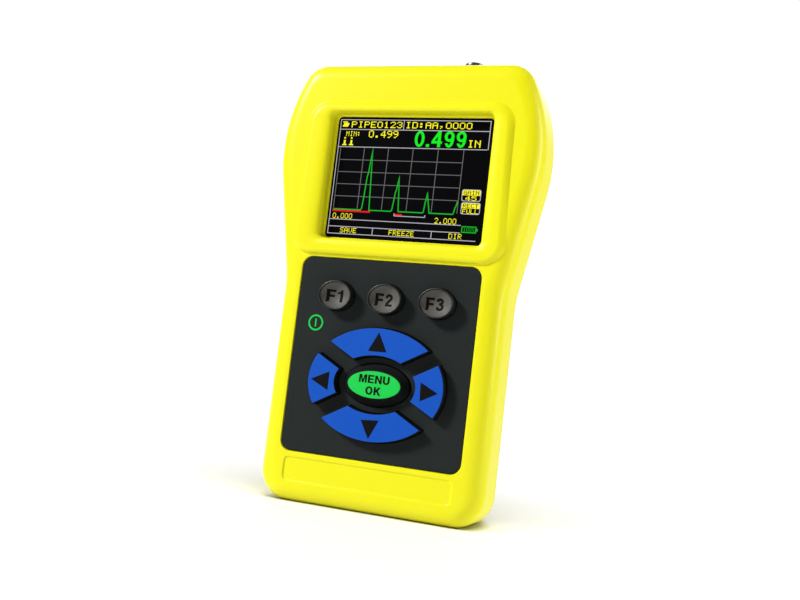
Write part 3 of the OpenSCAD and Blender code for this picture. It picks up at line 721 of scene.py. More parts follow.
@dataclass
class FrontShell:
    """Front half of the moulded case."""

    outline: CaseOutline
    edge_r: float = 6.5
    hole: Box = (1.7, 120.7, 65.8, 51.2)
    hole_r: float = 4.0
    pad: Box = (0.0, 54.0, 68.9, 71.6)
    pad_r: float = 4.0
    pad_edge: Edge = ((0.4, 0.0), (0.12, 0.08), (0.0, 0.4), (0.0, WALL))
    label: Box = (0.0, 11.95, 64.0, 8.3)
    label_r: float = 1.6
    label_edge: Edge = ((0.35, 0.0), (0.1, 0.06), (-0.15, 0.34), (-0.4, 0.4))

    def fillet(self, inner: float, steps: int) -> Loop:
        """Inset and depth along the rounded front edge, from the side to the flat."""
        return arc(self.edge_r, self.edge_r, self.edge_r - inner, 180, 270, steps)

    def depth_at(self, x: float, z: float) -> float:
        """Depth of the front's surface at a place of the front view.

        Args:
            x: Place, sideways.
            z: Place, height.

        Returns:
            The depth.
        """
        edge = np.array(self.outline.loop(0.0))
        along = np.roll(edge, -1, axis=0) - edge
        share = np.clip((((x, z) - edge) * along).sum(1) / np.maximum((along * along).sum(1), 1e-9), 0, 1)
        inset = np.sqrt((((x, z) - edge - along * share[:, None]) ** 2).sum(1)).min()
        rest = max(self.edge_r - inset, 0.0)
        return self.edge_r - math.sqrt(max(self.edge_r ** 2 - rest ** 2, 0.0))

    def build(self) -> None:
        """Model the shell with its openings and dress it."""
        mesh = LoopMesh("front_shell")
        outer = mesh.stack(self.outline.loop, [(SEAM, JOINT), (0.0, JOINT - SEAM)] + self.fillet(0.0, 9))
        inner = mesh.stack(self.outline.loop, [(WALL, JOINT)] + self.fillet(WALL, 6))
        hole = mesh.stack(rounded(self.hole, self.hole_r), ((0.0, 0.0), (0.0, WALL)))
        pad = mesh.stack(rounded(self.pad, self.pad_r), self.pad_edge)
        label = mesh.stack(rounded(self.label, self.label_r), self.label_edge)
        mesh.start()
        mesh.bridge(*reversed(inner), *outer)
        mesh.fill(outer[-1], hole[0], pad[0], label[0])
        mesh.fill(inner[-1], hole[-1], pad[-1])
        mesh.bridge(*hole)
        mesh.bridge(*pad)
        mesh.pit(label)
        dress(mesh.done(), Finishes.CASE, "case_yellow", replaces=["front_case"])


@dataclass
class DisplayFrame:
    """Raised frame round the display, with its sloped recess."""

    shell: FrontShell
    x: float = 0.5
    z: float = 91.1
    height: float = 56.2
    top_w: float = 76.8
    base_w: float = 79.2
    r: float = 7.0
    out: float = 1.3
    skirt: Point = (2.0, -1.3)
    keep: float = 0.4
    sunk: float = 0.06
    ledge: float = 2.85
    lip: float = 0.55
    power: float = 0.52
    steps: int = 14
    window: Box = (1.7, 120.7, 60.6, 46.0)
    window_r: float = 1.5
    throat: Edge = ((0.4, 2.98), (0.08, 3.05), (0.0, 3.16), (-0.04, 3.4), (2.4, 3.4), (2.4, 2.2))
    root: Point = (-0.3, 2.2)

    def ridge(self, grow: float) -> Loop:
        """Outline of the raised frame, grown all round but less towards the keypad.

        Args:
            grow: How far it is grown.

        Returns:
            The outline's points.
        """
        points: Loop = []
        for sx, sz, turn in CORNERS:
            wide, mid = ((self.base_w, self.z + self.r) if sz < 0
                         else (self.top_w, self.z + self.height - self.r))
            tall = self.r + (grow * self.keep if sz < 0 < grow else grow)
            points += bow(self.x + sx * (wide / 2 - self.r), mid, self.r + grow, tall, turn, turn + 90, 10)
        return points

    def mouth(self, grow: float) -> Loop:
        """Outline of the window, grown all round."""
        return soft_rect(self.window, self.window_r + max(grow, 0.0), grow, 10)

    def build(self) -> None:
        """Model the frame and dress it."""
        mesh = LoopMesh("display_frame")
        low, high = self.skirt
        rows = []
        for share in (i / self.steps for i in range(self.steps + 1)):
            lift = share * share * (3 - 2 * share)
            loop = self.ridge(low + (high - low) * share)
            ground = [self.shell.depth_at(px, pz) + self.sunk * (1 - lift) for px, pz in loop]
            rows.append(mesh.row(loop, [g * (1 - lift) - self.out * lift for g in ground]))
        crest, glass = np.array(self.ridge(high)), np.array(self.mouth(self.lip))
        for turn in (math.pi / 2 * i / self.steps for i in range(1, self.steps + 1)):
            loop = crest + (glass - crest) * math.sin(turn) ** self.power
            fall = (self.ledge + self.out) * (1 - math.cos(turn) ** self.power)
            rows.append(mesh.row([(x, z) for x, z in loop], fall - self.out))
        rows += mesh.stack(self.mouth, self.throat)
        grow, depth = self.root
        root = mesh.row(self.ridge(grow), depth)
        mesh.start()
        mesh.bridge(root, *rows)
        mesh.fill(root, rows[-1])
        dress(mesh.done(50), Finishes.CASE, "case_yellow")


@dataclass
class RearShell:
    """Rear half of the moulded case."""

    outline: CaseOutline
    depth: float = 36.0
    edge_r: float = 4.0
    foot_r: float = 6.5
    lean: float = 4.5
    floor: float = 31.4
    floor_foot: float = 1.2
    door: Box = (0.0, 47.0, 51.3, 74.4)
    door_r: float = 3.2
    door_edge: Edge = ((0.4, 36.0), (0.1, 35.9), (0.0, 35.6), (0.0, 33.2))
    bay: Box = (0.0, 47.0, 45.7, 58.0)
    bay_r: float = 0.5
    bay_edge: Edge = ((0.0, 33.2), (0.0, 18.6))
    block: Box = (0.0, 47.0, 50.9, 63.2)
    block_r: float = 2.6
    block_edge: Edge = ((0.0, 31.4), (0.0, 17.2))
    well_r: float = 2.85
    well_edge: Edge = ((0.35, 36.0), (0.08, 35.92), (0.0, 35.65), (0.0, 23.0))
    post_r: float = 4.35
    screws: Edge = ((-29.5, 10.0), (29.5, 10.0), (-29.5, 150.0), (29.5, 150.0))

    def corner(self, steps: int) -> list[Spot]:
        """Rounded corner from the side to the flat back.

        Args:
            steps: Number of steps.

        Returns:
            Depth, inset and base inset of each ring.
        """
        rings: list[Spot] = []
        for turn in (math.pi / 2 * i / steps for i in range(steps + 1)):
            low = self.edge_r * (1 - math.sin(turn))
            foot = self.foot_r - math.sqrt(self.foot_r ** 2 - (self.foot_r - low) ** 2)
            rings.append((self.depth - low, self.lean + self.edge_r * (1 - math.cos(turn)), foot))
        return rings

    def build(self) -> None:
        """Model the shell with its door recess and screw wells, and dress it."""
        mesh = LoopMesh("rear_shell")
        bend = self.depth - self.foot_r
        slant = self.lean * (bend - JOINT) / (self.depth - self.edge_r - JOINT)
        skin = [(JOINT, SEAM, SEAM), (JOINT + SEAM, 0.0, 0.0), (bend, slant, 0.0)] + self.corner(9)
        lining = ((JOINT, 0.0, 0.0), (bend, slant, 0.0), (self.floor, self.lean, self.floor_foot))
        outer = [mesh.row(self.outline.loop(e, f), d) for d, e, f in skin]
        inner = [mesh.row(self.outline.loop(WALL + e, WALL + f), d) for d, e, f in lining]
        door = mesh.stack(rounded(self.door, self.door_r), self.door_edge)
        bay = mesh.stack(rounded(self.bay, self.bay_r), self.bay_edge)
        block = mesh.stack(rounded(self.block, self.block_r), self.block_edge)
        wells = [mesh.stack(lambda g: disc(x, z, self.well_r + g), self.well_edge) for x, z in self.screws]
        posts = [[mesh.row(disc(x, z, self.post_r), d) for d in (self.floor, JOINT)] for x, z in self.screws]
        mesh.start()
        mesh.bridge(*reversed(inner), *outer)
        mesh.fill(outer[-1], door[0], *(w[0] for w in wells))
        mesh.bridge(*door)
        mesh.fill(door[-1], bay[0])
        mesh.fill(inner[-1], block[0], *(p[0] for p in posts))
        for pit in (bay, block, *posts, *wells):
            mesh.pit(pit)
        dress(mesh.done(), Finishes.CASE, "case_yellow", replaces=["rear_case"])


@dataclass
class Screw:
    """Socket-head screw along the depth."""

    seat: float
    r: float
    length: float
    head: float
    tall: float
    tip: float = 0.6
    socket: float = 0.58
    socket_deep: float = 0.6
    rim: Edge = ((0.0, -0.3), (-0.1, -0.08), (-0.35, 0.0))

    def build(self, name: str, x: float, z: float) -> Obj:
        """Model the screw at one place.

        Args:
            name: Name of the object.
            x: Place, sideways.
            z: Place, height.

        Returns:
            The finished object.
        """
        mesh = LoopMesh(name)
        end, top, tip = self.seat - self.length, self.seat + self.tall, self.r * self.tip
        steps = [(tip, end), (self.r, end + tip), (self.r, self.seat), (self.head, self.seat)]
        steps += [(self.head + grow, top + depth) for grow, depth in self.rim]
        rows = mesh.stack(lambda r: disc(x, z, r, 36), steps)
        hexagon = disc(x, z, self.head * self.socket, 6)
        drive = [mesh.row(hexagon, d) for d in (top, top - self.tall * self.socket_deep)]
        mesh.start()
        mesh.bridge(*rows)
        mesh.fill(rows[-1], drive[0])
        mesh.pit(drive)
        mesh.cap(rows[0])
        return mesh.done(30)


@dataclass
class BackDoor:
    """Battery door with its screws, and the case screws."""

    cover: Box = (0.0, 47.0, 50.9, 74.0)
    cover_r: float = 3.0
    cover_edge: Edge = ((0.0, 34.0), (0.0, 35.5), (-0.15, 35.85), (-0.5, 36.0))
    sink_r: float = 2.5
    sink_edge: Edge = ((0.25, 36.0), (0.0, 35.75), (0.0, 34.8))
    screws: Edge = ((0.0, 14.0), (0.0, 80.0))
    door_screw: Screw = field(default_factory=lambda: Screw(34.8, 1.2, 6.7, 2.3, 1.1))
    case_screw: Screw = field(default_factory=lambda: Screw(23.0, 1.45, 15.0, 2.5, 2.5))

    def build(self, wells: Sequence[Point]) -> None:
        """Model the door and all screws seen from the back.

        Args:
            wells: Places of the case screws.
        """
        mesh = LoopMesh("door_cover")
        rows = mesh.stack(rounded(self.cover, self.cover_r), self.cover_edge)
        sinks = [mesh.stack(lambda g: disc(x, z, self.sink_r + g), self.sink_edge) for x, z in self.screws]
        mesh.start()
        mesh.bridge(*rows)
        mesh.cap(rows[0])
        mesh.fill(rows[-1], *(s[0] for s in sinks))
        for sink in sinks:
            mesh.pit(sink)
        dress(mesh.done(), Finishes.CASE, "case_yellow", replaces=["battery_door"])
        for name, screw, places, replaced in (("door_screw_pair", self.door_screw, self.screws, "door_screws"),
                                              ("case_screw_set", self.case_screw, wells, "case_screws")):
            parts = [screw.build(f"{name}_{i}", x, z) for i, (x, z) in enumerate(places)]
            dress(join(parts, name), Finishes.STEEL, "screw_steel", replaces=[replaced])


@dataclass
class Screen:
    """Window over the display with the lit picture of an echo trace, which is measured from the window's middle."""

    x: float = 1.7
    z: float = 120.7
    lens: Point = (64.6, 50.0)
    lens_r: float = 1.5
    lens_edge: Edge = ((-0.2, 5.2), (0.0, 5.0), (0.0, 3.6), (-0.2, 3.4))
    front: float = 3.4
    thick: float = 0.05
    layer: float = 0.054
    grid: Box = (-28.2, -11.8, 20.1, 11.2)
    grid_line: float = 0.26
    cells: int = 5
    levels: tuple[Spot, ...] = (
        (21.9, -29.4, 29.2), (18.2, -29.4, 29.1), (11.5, -29.5, 28.7), (-16.0, -29.5, 22.0), (-18.7, -29.5, 22.0),
        (-21.4, -29.5, 28.0), (-13.8, -3.7, 8.2))
    uprights: tuple[Spot, ...] = (
        (-29.3, -21.4, 21.9), (29.0, 11.5, 21.9), (-3.95, 18.2, 21.9), (-11.4, -21.4, -18.7), (11.4, -21.4, -18.7),
        (-3.7, -13.8, -12.9), (8.2, -13.8, -13.0))
    tag: Point = (7.1, 4.3)
    tag_r: float = 0.7
    tag_line: float = 0.25
    tags: Edge = ((24.7, -5.1), (24.9, -9.8))
    fields: tuple[Box, ...] = ((21.4, -5.1, 28.0, -3.2), (21.6, -9.8, 28.2, -7.9))
    probes: Point = (-27.6, -24.9)
    probe: tuple[Box, ...] = ((-0.2, 12.1, 1.5, 12.55), (0.3, 12.6, 1.0, 14.1), (0.35, 14.6, 0.95, 15.2))
    folder: Edge = ((-28.6, 19.2), (-26.4, 19.2), (-25.8, 20.6), (-28.0, 20.6))
    folder_tab: Box = (-28.5, 20.75, -26.6, 21.2)
    large: tuple[Word, ...] = (
        ("PIPE0123", -24.9, 18.9, -4.6, 21.3), ("ID:AA,0000", -3.3, 18.9, 22.2, 21.3),
        ("0.499", -17.5, 15.2, -5.8, 17.9), ("IN", 21.2, 12.2, 26.0, 14.9), ("45", 22.6, -7.0, 26.7, -5.35),
        ("FULL", 22.0, -11.7, 27.8, -10.05))
    small: tuple[Word, ...] = (
        ("MIN:", -26.7, 15.6, -20.9, 17.5), ("0.000", -28.1, -15.7, -20.2, -13.7),
        ("2.000", 12.0, -15.8, 20.2, -13.7), ("SAVE", -24.4, -21.0, -17.8, -19.1),
        ("FREEZE", -5.0, -21.0, 4.8, -19.1), ("DIR", 17.9, -21.0, 22.8, -19.1))
    large_thin: float = 0.04
    small_thin: float = 0.14
    tagged: tuple[Word, ...] = (("GAIN", 21.8, -4.95, 27.5, -3.4), ("RECT", 22.0, -9.65, 27.7, -8.1))
    charge: tuple[Word, ...] = (("100%", 23.1, -18.05, 27.2, -16.75),)
    tagged_thin: float = -0.06
    charge_thin: float = 0.12
    cell: tuple[Box, ...] = (
        (22.4, -18.6, 27.9, -16.2), (22.75, -18.25, 27.55, -16.55), (27.95, -17.9, 28.4, -16.9))
    value: Word = ("0.499", 0.9, 12.1, 20.5, 18.0)
    base: float = -12.2
    echoes: tuple[Box, ...] = (
        (-15.0, 23.5, 2.2, 1.25), (-3.25, 13.1, 2.0, 1.0), (8.3, 7.5, 1.1, 1.4), (19.9, 4.7, 1.5, 0.0))
    rise: Edge = ((1.0, 0.0), (0.78, 0.03), (0.62, 0.24), (0.45, 0.54), (0.3, 0.6), (0.12, 0.83), (0.0, 1.0))
    fall: Edge = ((0.35, 0.6), (1.0, 0.0))
    trace_line: float = 0.42
    gates: tuple[Box, ...] = ((-12.85, -28.3, -13.2, 0.6), (-13.4, -3.5, -0.6, 0.7))

    def at(self, u0: float, v0: float, u1: float, v1: float) -> Box:
        """Place in the front view of two corners on the screen."""
        return self.x + u0, self.z + v0, self.x + u1, self.z + v1

    def bar(self, u0: float, v0: float, u1: float, v1: float) -> Loop:
        """Rectangle on the screen."""
        return box_loop(*self.at(u0, v0, u1, v1))

    def level(self, v: float, u0: float, u1: float, w: float = SCREEN_LINE) -> Loop:
        """Thin level line on the screen."""
        return self.bar(u0, v - w / 2, u1, v + w / 2)

    def upright(self, u: float, v0: float, v1: float, w: float = SCREEN_LINE) -> Loop:
        """Thin upright line on the screen."""
        return self.bar(u - w / 2, v0, u + w / 2, v1)

    def path(self, points: Sequence[Point]) -> Loop:
        """Place in the front view of points on the screen."""
        return [(self.x + u, self.z + v) for u, v in points]

    def trace(self) -> Loop:
        """Path of the echo trace: each echo rises with a step and falls steeply.

        Returns:
            Its points in the front view.
        """
        points = [(self.grid[0], self.base)]
        for place, tall, before, after in self.echoes:
            points += [(place - before * a, self.base + tall * b) for a, b in self.rise]
            if after:
                points += [(place + after * a, self.base + tall * b) for a, b in self.fall]
        return self.path(points)

    def flat(self, name: str, loops: Sequence[Loop], layer: int = 0) -> Obj:
        """Flat shapes in one of the picture's layers, each of which lies in front of the last."""
        return flat_shape(name, loops, self.front - self.thick - self.layer * layer, self.thick)

    def words(self, name: str, words: Sequence[Word], thin: float, layer: int = 0) -> Obj:
        """Join several words of dots into one piece.

        Args:
            name: Name of the piece.
            words: Each word with its left, low, right and high edge.
            thin: Share of a dot left out at each side of a bar.
            layer: Layer of the picture.

        Returns:
            The joined object.
        """
        return join([self.flat(f"{name}_{i}", ALPHABET.dotted(text, self.at(*box), thin), layer)
                     for i, (text, *box) in enumerate(words)], name)

    def show(self, name: str, finish: Finishes, *parts: Obj) -> None:
        """Join and dress parts of the picture."""
        dress(join(parts, name), finish, "display")

    def build(self) -> None:
        """Model the window and its picture, and dress them."""
        mesh = LoopMesh("window_lens")
        rows = mesh.stack(rounded((self.x, self.z, *self.lens), self.lens_r), self.lens_edge)
        dress(mesh.solid(rows), Finishes.LENS, "window", replaces=["display_window"])
        u0, v0, u1, v1 = self.grid
        cell_u, cell_v = (u1 - u0) / self.cells, (v1 - v0) / self.cells
        net = [self.level(v0 + cell_v * i, u0, u1, self.grid_line) for i in range(1, self.cells)]
        posts = [self.upright(u0 + cell_u * i, v0, v1, self.grid_line) for i in range(self.cells + 1)]
        self.show("screen_grid", Finishes.SCREEN_GREY, self.flat("grid_level", net),
                  self.flat("grid_upright", posts, 1))
        tags = [soft_rect((x, z, *self.tag), self.tag_r, grow, 4) for x, z in self.path(self.tags)
                for grow in (0.0, -self.tag_line)]
        self.show("screen_frames", Finishes.SCREEN_WHITE,
                  self.flat("frame_level", [self.level(*line) for line in self.levels]),
                  self.flat("frame_upright", [self.upright(*line) for line in self.uprights], 1),
                  self.flat("frame_tag", tags))
        marks = [self.bar(*box) for box in (*self.fields, self.folder_tab)] + [self.path(self.folder)]
        marks += [self.bar(u + a, b, u + c, d) for u in self.probes for a, b, c, d in self.probe]
        self.show("screen_yellow", Finishes.SCREEN_YELLOW, self.words("screen_words", self.large, self.large_thin),
                  self.words("screen_small", self.small, self.small_thin), self.flat("screen_marks", marks))
        tag_words = self.words("screen_tagged", self.tagged, self.tagged_thin, 1)
        self.show("screen_tag_words", Finishes.LEGEND, tag_words)
        text, *box = self.value
        value = ALPHABET.legend("screen_digits", text, self.at(*box), self.front - self.thick, self.thick)
        self.show("screen_value", Finishes.SCREEN_GREEN, value)
        self.show("screen_trace", Finishes.SCREEN_TRACE,
                  self.flat("screen_echo", [band(self.trace(), self.trace_line)], 2),
                  self.flat("screen_charge", [self.bar(*box) for box in self.cell]),
                  self.words("screen_level", self.charge, self.charge_thin))
        self.show("screen_gates", Finishes.SCREEN_RED,
                  self.flat("screen_gate_lines", [self.level(*gate) for gate in self.gates], 3))


class Side(Enum):
    """Side of the arrow ring that a key lies on, by its direction."""

    RIGHT = (1, 0)
    UP = (0, 1)
    LEFT = (-1, 0)
    DOWN = (0, -1)


@dataclass
class Keypad:
    """Rubber panel with its eight keys."""

    x: float = 0.6
    pad: Box = (0.0, 54.0, 68.6, 71.3)
    pad_r: float = 3.85
    pad_turn: float = 0.3
    pad_edge: Edge = ((-0.3, 0.3), (-0.08, 0.38), (0.0, 0.6), (0.0, WALL), (1.85, WALL), (1.85, 10.0), (0.25, 10.0),
                      (0.25, 4.0))
    hole_edge: Edge = ((0.52, 0.3), (0.35, 0.36), (0.3, 0.55), (0.3, 4.0))
    power: Point = (-26.3, 65.4)
    power_rings: Point = (2.95, 2.35)
    power_bar: Point = (0.52, 3.0)
    power_bar_r: float = 0.15
    power_d: Point = (0.24, 0.11)
    flange_edge: Edge = ((1.0, 5.3), (1.0, 4.3), (0.0, 4.3))
    plunger_r: float = 2.4
    plunger_d: Point = (8.2, 5.3)
    f_z: float = 75.8
    f_pitch: float = 19.2
    f_size: Point = (12.8, 10.6)
    f_edge: Edge = ((0.0, -3.1), (-0.04, -3.34), (-0.14, -3.46), (-0.26, -3.5), (-0.38, -3.45), (-0.48, -3.32),
                    (-0.6, -2.8), (-0.6, -0.7))
    f_print: Edge = ((-0.62, -0.75), (-0.62, -2.77))
    f_dish: Point = (-2.8, -1.0)
    f_bend: float = 2.2
    f_rings: tuple[float, ...] = (0.985, 0.93, 0.85, 0.75, 0.63, 0.5, 0.36, 0.22, 0.1)
    f_word: Box = (-3.8, -2.45, 2.6, 2.0)
    f_word_d: Point = (-5.5, 0.0)
    nav_z: float = 45.35
    nav: Point = (51.4, 40.1)
    nav_inner: Point = (30.6, 20.3)
    nav_gap: float = 5.8
    nav_tilt: float = 28.8
    nav_edge: Edge = ((0.0, -2.55), (-0.04, -2.76), (-0.14, -2.91), (-0.3, -2.95))
    nav_print: Edge = ((-0.16, -2.88), (-0.18, -2.98), (-0.3, -3.03))
    arrow_d: Point = (-3.09, 0.09)
    arrows: dict[Side, Edge] = field(default_factory=lambda: {
        Side.UP: ((0.3, 63.8), (-3.1, 57.0), (3.9, 57.1)), Side.LEFT: ((-23.8, 44.9), (-16.9, 48.2), (-16.9, 41.6)),
        Side.RIGHT: ((24.3, 44.9), (17.8, 48.1), (18.2, 41.6)), Side.DOWN: ((0.8, 26.5), (-2.7, 32.7), (4.0, 33.2))})
    menu: Point = (25.0, 15.0)
    menu_rings: tuple[Spot, ...] = (
        (25.0, 15.0, -0.2), (24.7, 14.7, -0.45), (23.7, 13.6, -0.85), (22.5, 12.2, -1.5), (21.5, 11.1, -2.2),
        (21.0, 10.6, -2.7), (20.6, 10.2, -2.92), (20.1, 9.7, -3.0))
    menu_print: tuple[Spot, ...] = (
        (19.9, 9.5, -2.9), (19.85, 9.45, -3.02), (19.6, 9.2, -3.07), (15.6, 5.2, -3.12))
    menu_words: tuple[Word, ...] = (("MENU", -5.75, 0.5, 5.75, 3.3), ("OK", -2.85, -3.55, 2.85, -0.75))
    menu_word_d: Point = (-3.18, 0.16)

    def f_loop(self, place: int, grow: float) -> Loop:
        """Outline of one function key, grown all round."""
        w, h = self.f_size
        return oval(self.x + place * self.f_pitch, self.f_z, w + 2 * grow, h + 2 * grow)

    def menu_loop(self, grow: float) -> Loop:
        """Outline of the middle key, grown all round."""
        w, h = self.menu
        return oval(self.x, self.nav_z, w + 2 * grow, h + 2 * grow)

    def arrow_loop(self, side: Side, grow: float) -> Loop:
        """Outline of one arrow key, between two ovals and two slanted channels.

        Args:
            side: Which key.
            grow: How far the outline is moved outwards.

        Returns:
            The points, along the outer edge and back along the inner one.
        """
        tilt = math.radians(self.nav_tilt)
        level = side in (Side.RIGHT, Side.LEFT)
        flip = sum(side.value)
        off = (self.nav_gap / 2 - grow) * (1 if level else -1)
        points: Loop = []
        for (w, h), push, way in ((self.nav, grow, 1), (self.nav_inner, -grow, -1)):
            a, b = w / 2 + push, h / 2 + push
            across, along = a * math.sin(tilt), b * math.cos(tilt)
            meet = math.degrees(math.acos(off / math.hypot(across, along)) - math.atan2(along, across))
            ends = (-meet, meet) if level else (meet, 180 - meet)
            points += bow(self.x, self.nav_z, flip * a, flip * b, *ends[::way], 26)
        return points

    def panel(self) -> None:
        """Model the rubber panel and its printed power mark."""
        mesh = LoopMesh("rubber_panel")
        rim = mesh.stack(lambda g: soft_rect(self.pad, self.pad_r + g * self.pad_turn, g), self.pad_edge)
        shapes: list[Shape] = [lambda g, p=p: self.f_loop(p, g) for p in (-1, 0, 1)]
        shapes += [lambda g, s=s: self.arrow_loop(s, g) for s in Side]
        holes = [mesh.stack(shape, self.hole_edge) for shape in (*shapes, self.menu_loop)]
        mesh.start()
        for rows in (rim, *holes):
            mesh.bridge(*rows)
        mesh.fill(rim[0], *(h[0] for h in holes))
        mesh.fill(rim[-1], *(h[-1] for h in holes))
        dress(mesh.done(), Finishes.PANEL, "panel_rubber", replaces=["keypad_panel"])
        mark = [disc(*self.power, r, 48) for r in self.power_rings]
        mark.append(soft_rect((*self.power, *self.power_bar), self.power_bar_r, steps=3))
        dress(flat_shape("power_mark", mark, *self.power_d), Finishes.KEY_GREEN, "key_green")

    def wall(self, name: str, shape: Shape, at: Point, rim: Sequence[tuple[Loop, float]], finish: Finishes) -> None:
        """Model the rubber wall of one key, its plunger standing under its flange.

        Args:
            name: Body of the key.
            shape: Outline of the key, grown by its argument.
            at: Middle of the plunger.
            rim: Outlines and depths from the wall to the top.
            finish: Finish of the wall.
        """
        mesh = LoopMesh(f"{name}_wall")
        plunger = [mesh.row(disc(*at, self.plunger_r, 36), d) for d in self.plunger_d]
        rows = mesh.stack(shape, self.flange_edge) + [mesh.row(*step) for step in rim]
        mesh.start()
        mesh.bridge(*plunger)
        mesh.cap(plunger[0])
        mesh.fill(rows[0], plunger[-1])
        mesh.pit(rows)
        dress(mesh.done(), finish, "panel_rubber", name, [name])

    def top(self, name: str, steps: Sequence[tuple[Loop, float]], finish: Finishes, slot: str) -> Obj:
        """Model the printed top of one key from its outlines and depths, and return it."""
        mesh = LoopMesh(f"{name}_cap")
        return dress(mesh.solid([mesh.row(*step) for step in steps]), finish, slot, name)

    def function_key(self, place: int) -> None:
        """Model one dished function key with its legend.

        Args:
            place: Its place from the middle one, -1 to 1.
        """
        name = f"key_f{place + 2}"
        cx = self.x + place * self.f_pitch
        rim = [(self.f_loop(place, g), d) for g, d in self.f_edge]
        self.wall(name, lambda g: self.f_loop(place, g), (cx, self.f_z), rim, Finishes.KEY_RIM)
        edge, middle = self.f_dish
        w, h = (size + 2 * self.f_print[0][0] for size in self.f_size)
        dish = [(self.f_loop(place, g), d) for g, d in self.f_print]
        dish += [(oval(cx, self.f_z, w * s, h * s), edge + (middle - edge) * (1 - s ** self.f_bend))
                 for s in self.f_rings]
        cap = self.top(name, dish, Finishes.KEY_GREY, "key_grey")
        x0, z0, x1, z1 = self.f_word
        at = (cx + x0, self.f_z + z0, cx + x1, self.f_z + z1)
        mark = ALPHABET.legend(f"{name}_legend", f"F{place + 2}", at, *self.f_word_d)
        lay_on(mark, cap)
        dress(mark, Finishes.LEGEND, "black_plastic", name)

    def arrow_key(self, side: Side) -> None:
        """Model one arrow key with its printed top and arrow.

        Args:
            side: Which key.
        """
        name = f"key_{side.name.lower()}"
        at = (self.x + side.value[0] * (self.nav[0] + self.nav_inner[0]) / 4,
              self.nav_z + side.value[1] * (self.nav[1] + self.nav_inner[1]) / 4)
        rim, cap = ([(self.arrow_loop(side, g), d) for g, d in edge] for edge in (self.nav_edge, self.nav_print))
        self.wall(name, lambda g: self.arrow_loop(side, g), at, rim, Finishes.KEY_WALL)
        self.top(name, cap, Finishes.KEY_BLUE, "key_blue")
        mark = flat_shape(f"{name}_arrow", [list(self.arrows[side])], *self.arrow_d)
        dress(mark, Finishes.LEGEND, "black_plastic", name)

    def menu_key(self) -> None:
        """Model the middle key with its printed top and legend."""
        name = "key_menu"
        at = self.x, self.nav_z
        rim, cap = ([(oval(*at, w, h), d) for w, h, d in rings] for rings in (self.menu_rings, self.menu_print))
        self.wall(name, self.menu_loop, at, rim, Finishes.KEY_WALL)
        self.top(name, cap, Finishes.KEY_GREEN, "key_green")
        parts = [ALPHABET.legend(f"menu_word_{i}", text, (at[0] + a, at[1] + b, at[0] + c, at[1] + d),
                                 *self.menu_word_d) for i, (text, a, b, c, d) in enumerate(self.menu_words)]
        dress(join(parts, "key_menu_legend"), Finishes.LEGEND, "black_plastic", name)

    def build(self) -> None:
        """Model the panel and all eight keys."""
        self.panel()
        for place in (-1, 0, 1):
            self.function_key(place)
        for side in Side:
            self.arrow_key(side)
        self.menu_key()


@dataclass
class ProbeSocket:
    """Metal socket on the top edge with its nut."""

    x: float = 19.3
    y: float = -3.65
    r: float = 3.5
    bore: float = 2.5
    core: float = 1.95
    collar: float = 4.8
    collar_z: Point = (158.7, 160.7)
    groove: Edge = ((0.0, 165.3), (-0.2, 165.45), (-0.2, 165.7), (0.0, 165.85))
    mouth: Edge = ((0.0, -0.5), (-0.12, -0.15), (-0.4, 0.0))
    bevel: float = 0.25
    top: float = 166.7
    low: float = 152.5
    floor: float = 160.7
    edge: float = 164.0
    play: float = 0.05
    nut: Edge = ((0.0, 0.0), (0.0, 0.75), (-0.2, 1.02), (-0.5, 1.1))

    def build(self) -> None:
        """Model the barrel and the nut, and dress them."""
        r, wide, top = self.r, self.collar, self.top
        low, high = self.collar_z
        barrel = [(self.core, self.low), (r, self.low), (r, low), (wide, low), (wide, high), (r, high)]
        barrel += [(r + grow, z) for grow, z in self.groove] + [(r + grow, top + z) for grow, z in self.mouth]
        barrel += [(self.bore + self.bevel, top), (self.bore, top - self.bevel), (self.bore, self.floor),
                   (self.core, self.floor)]
        nut = [(wide + grow, self.edge + z) for grow, z in self.nut]
        nut = [(r + self.play, nut[0][1]), *nut, (r + self.play, nut[-1][1])]
        for name, profile, replaced in (("socket_barrel", barrel, "probe_socket"),
                                        ("socket_ring_nut", nut, "socket_nut")):
            piece = turned(name, self.x, self.y, profile)
            dress(piece, Finishes.METAL, "socket_metal", replaces=[replaced])


@dataclass
class Inside:
    """Pieces held inside the case, left as their solids and given a finish."""

    finishes: dict[Finishes, tuple[str, ...]] = field(default_factory=lambda: {
        Finishes.SEAL: ("case_seal", "window_gasket", "socket_seal", "probe_lead", "door_seal"),
        Finishes.LENS: ("lcd_module",), Finishes.RIBBON: ("lcd_ribbon",), Finishes.BOARD: ("main_board",),
        Finishes.METAL: ("screening_can", "contact_plates", "contact_springs"), Finishes.KEY_WALL: ("sounder",),
        Finishes.INSULATOR: ("socket_insulator",), Finishes.BRASS: ("socket_contact",),
        Finishes.CELL: ("battery_1", "battery_2", "battery_3"), Finishes.STEEL: ("board_screws",)})

    def dress(self) -> None:
        """Give each inner solid its finish."""
        for finish, names in self.finishes.items():
            for name in names:
                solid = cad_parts[name]
                if not solid.material_slots:
                    solid.data.materials.append(finish.value.material())
                for slot in solid.material_slots:
                    slot.material = finish.value.material()
                LOG.info("%s keeps its solid", name)


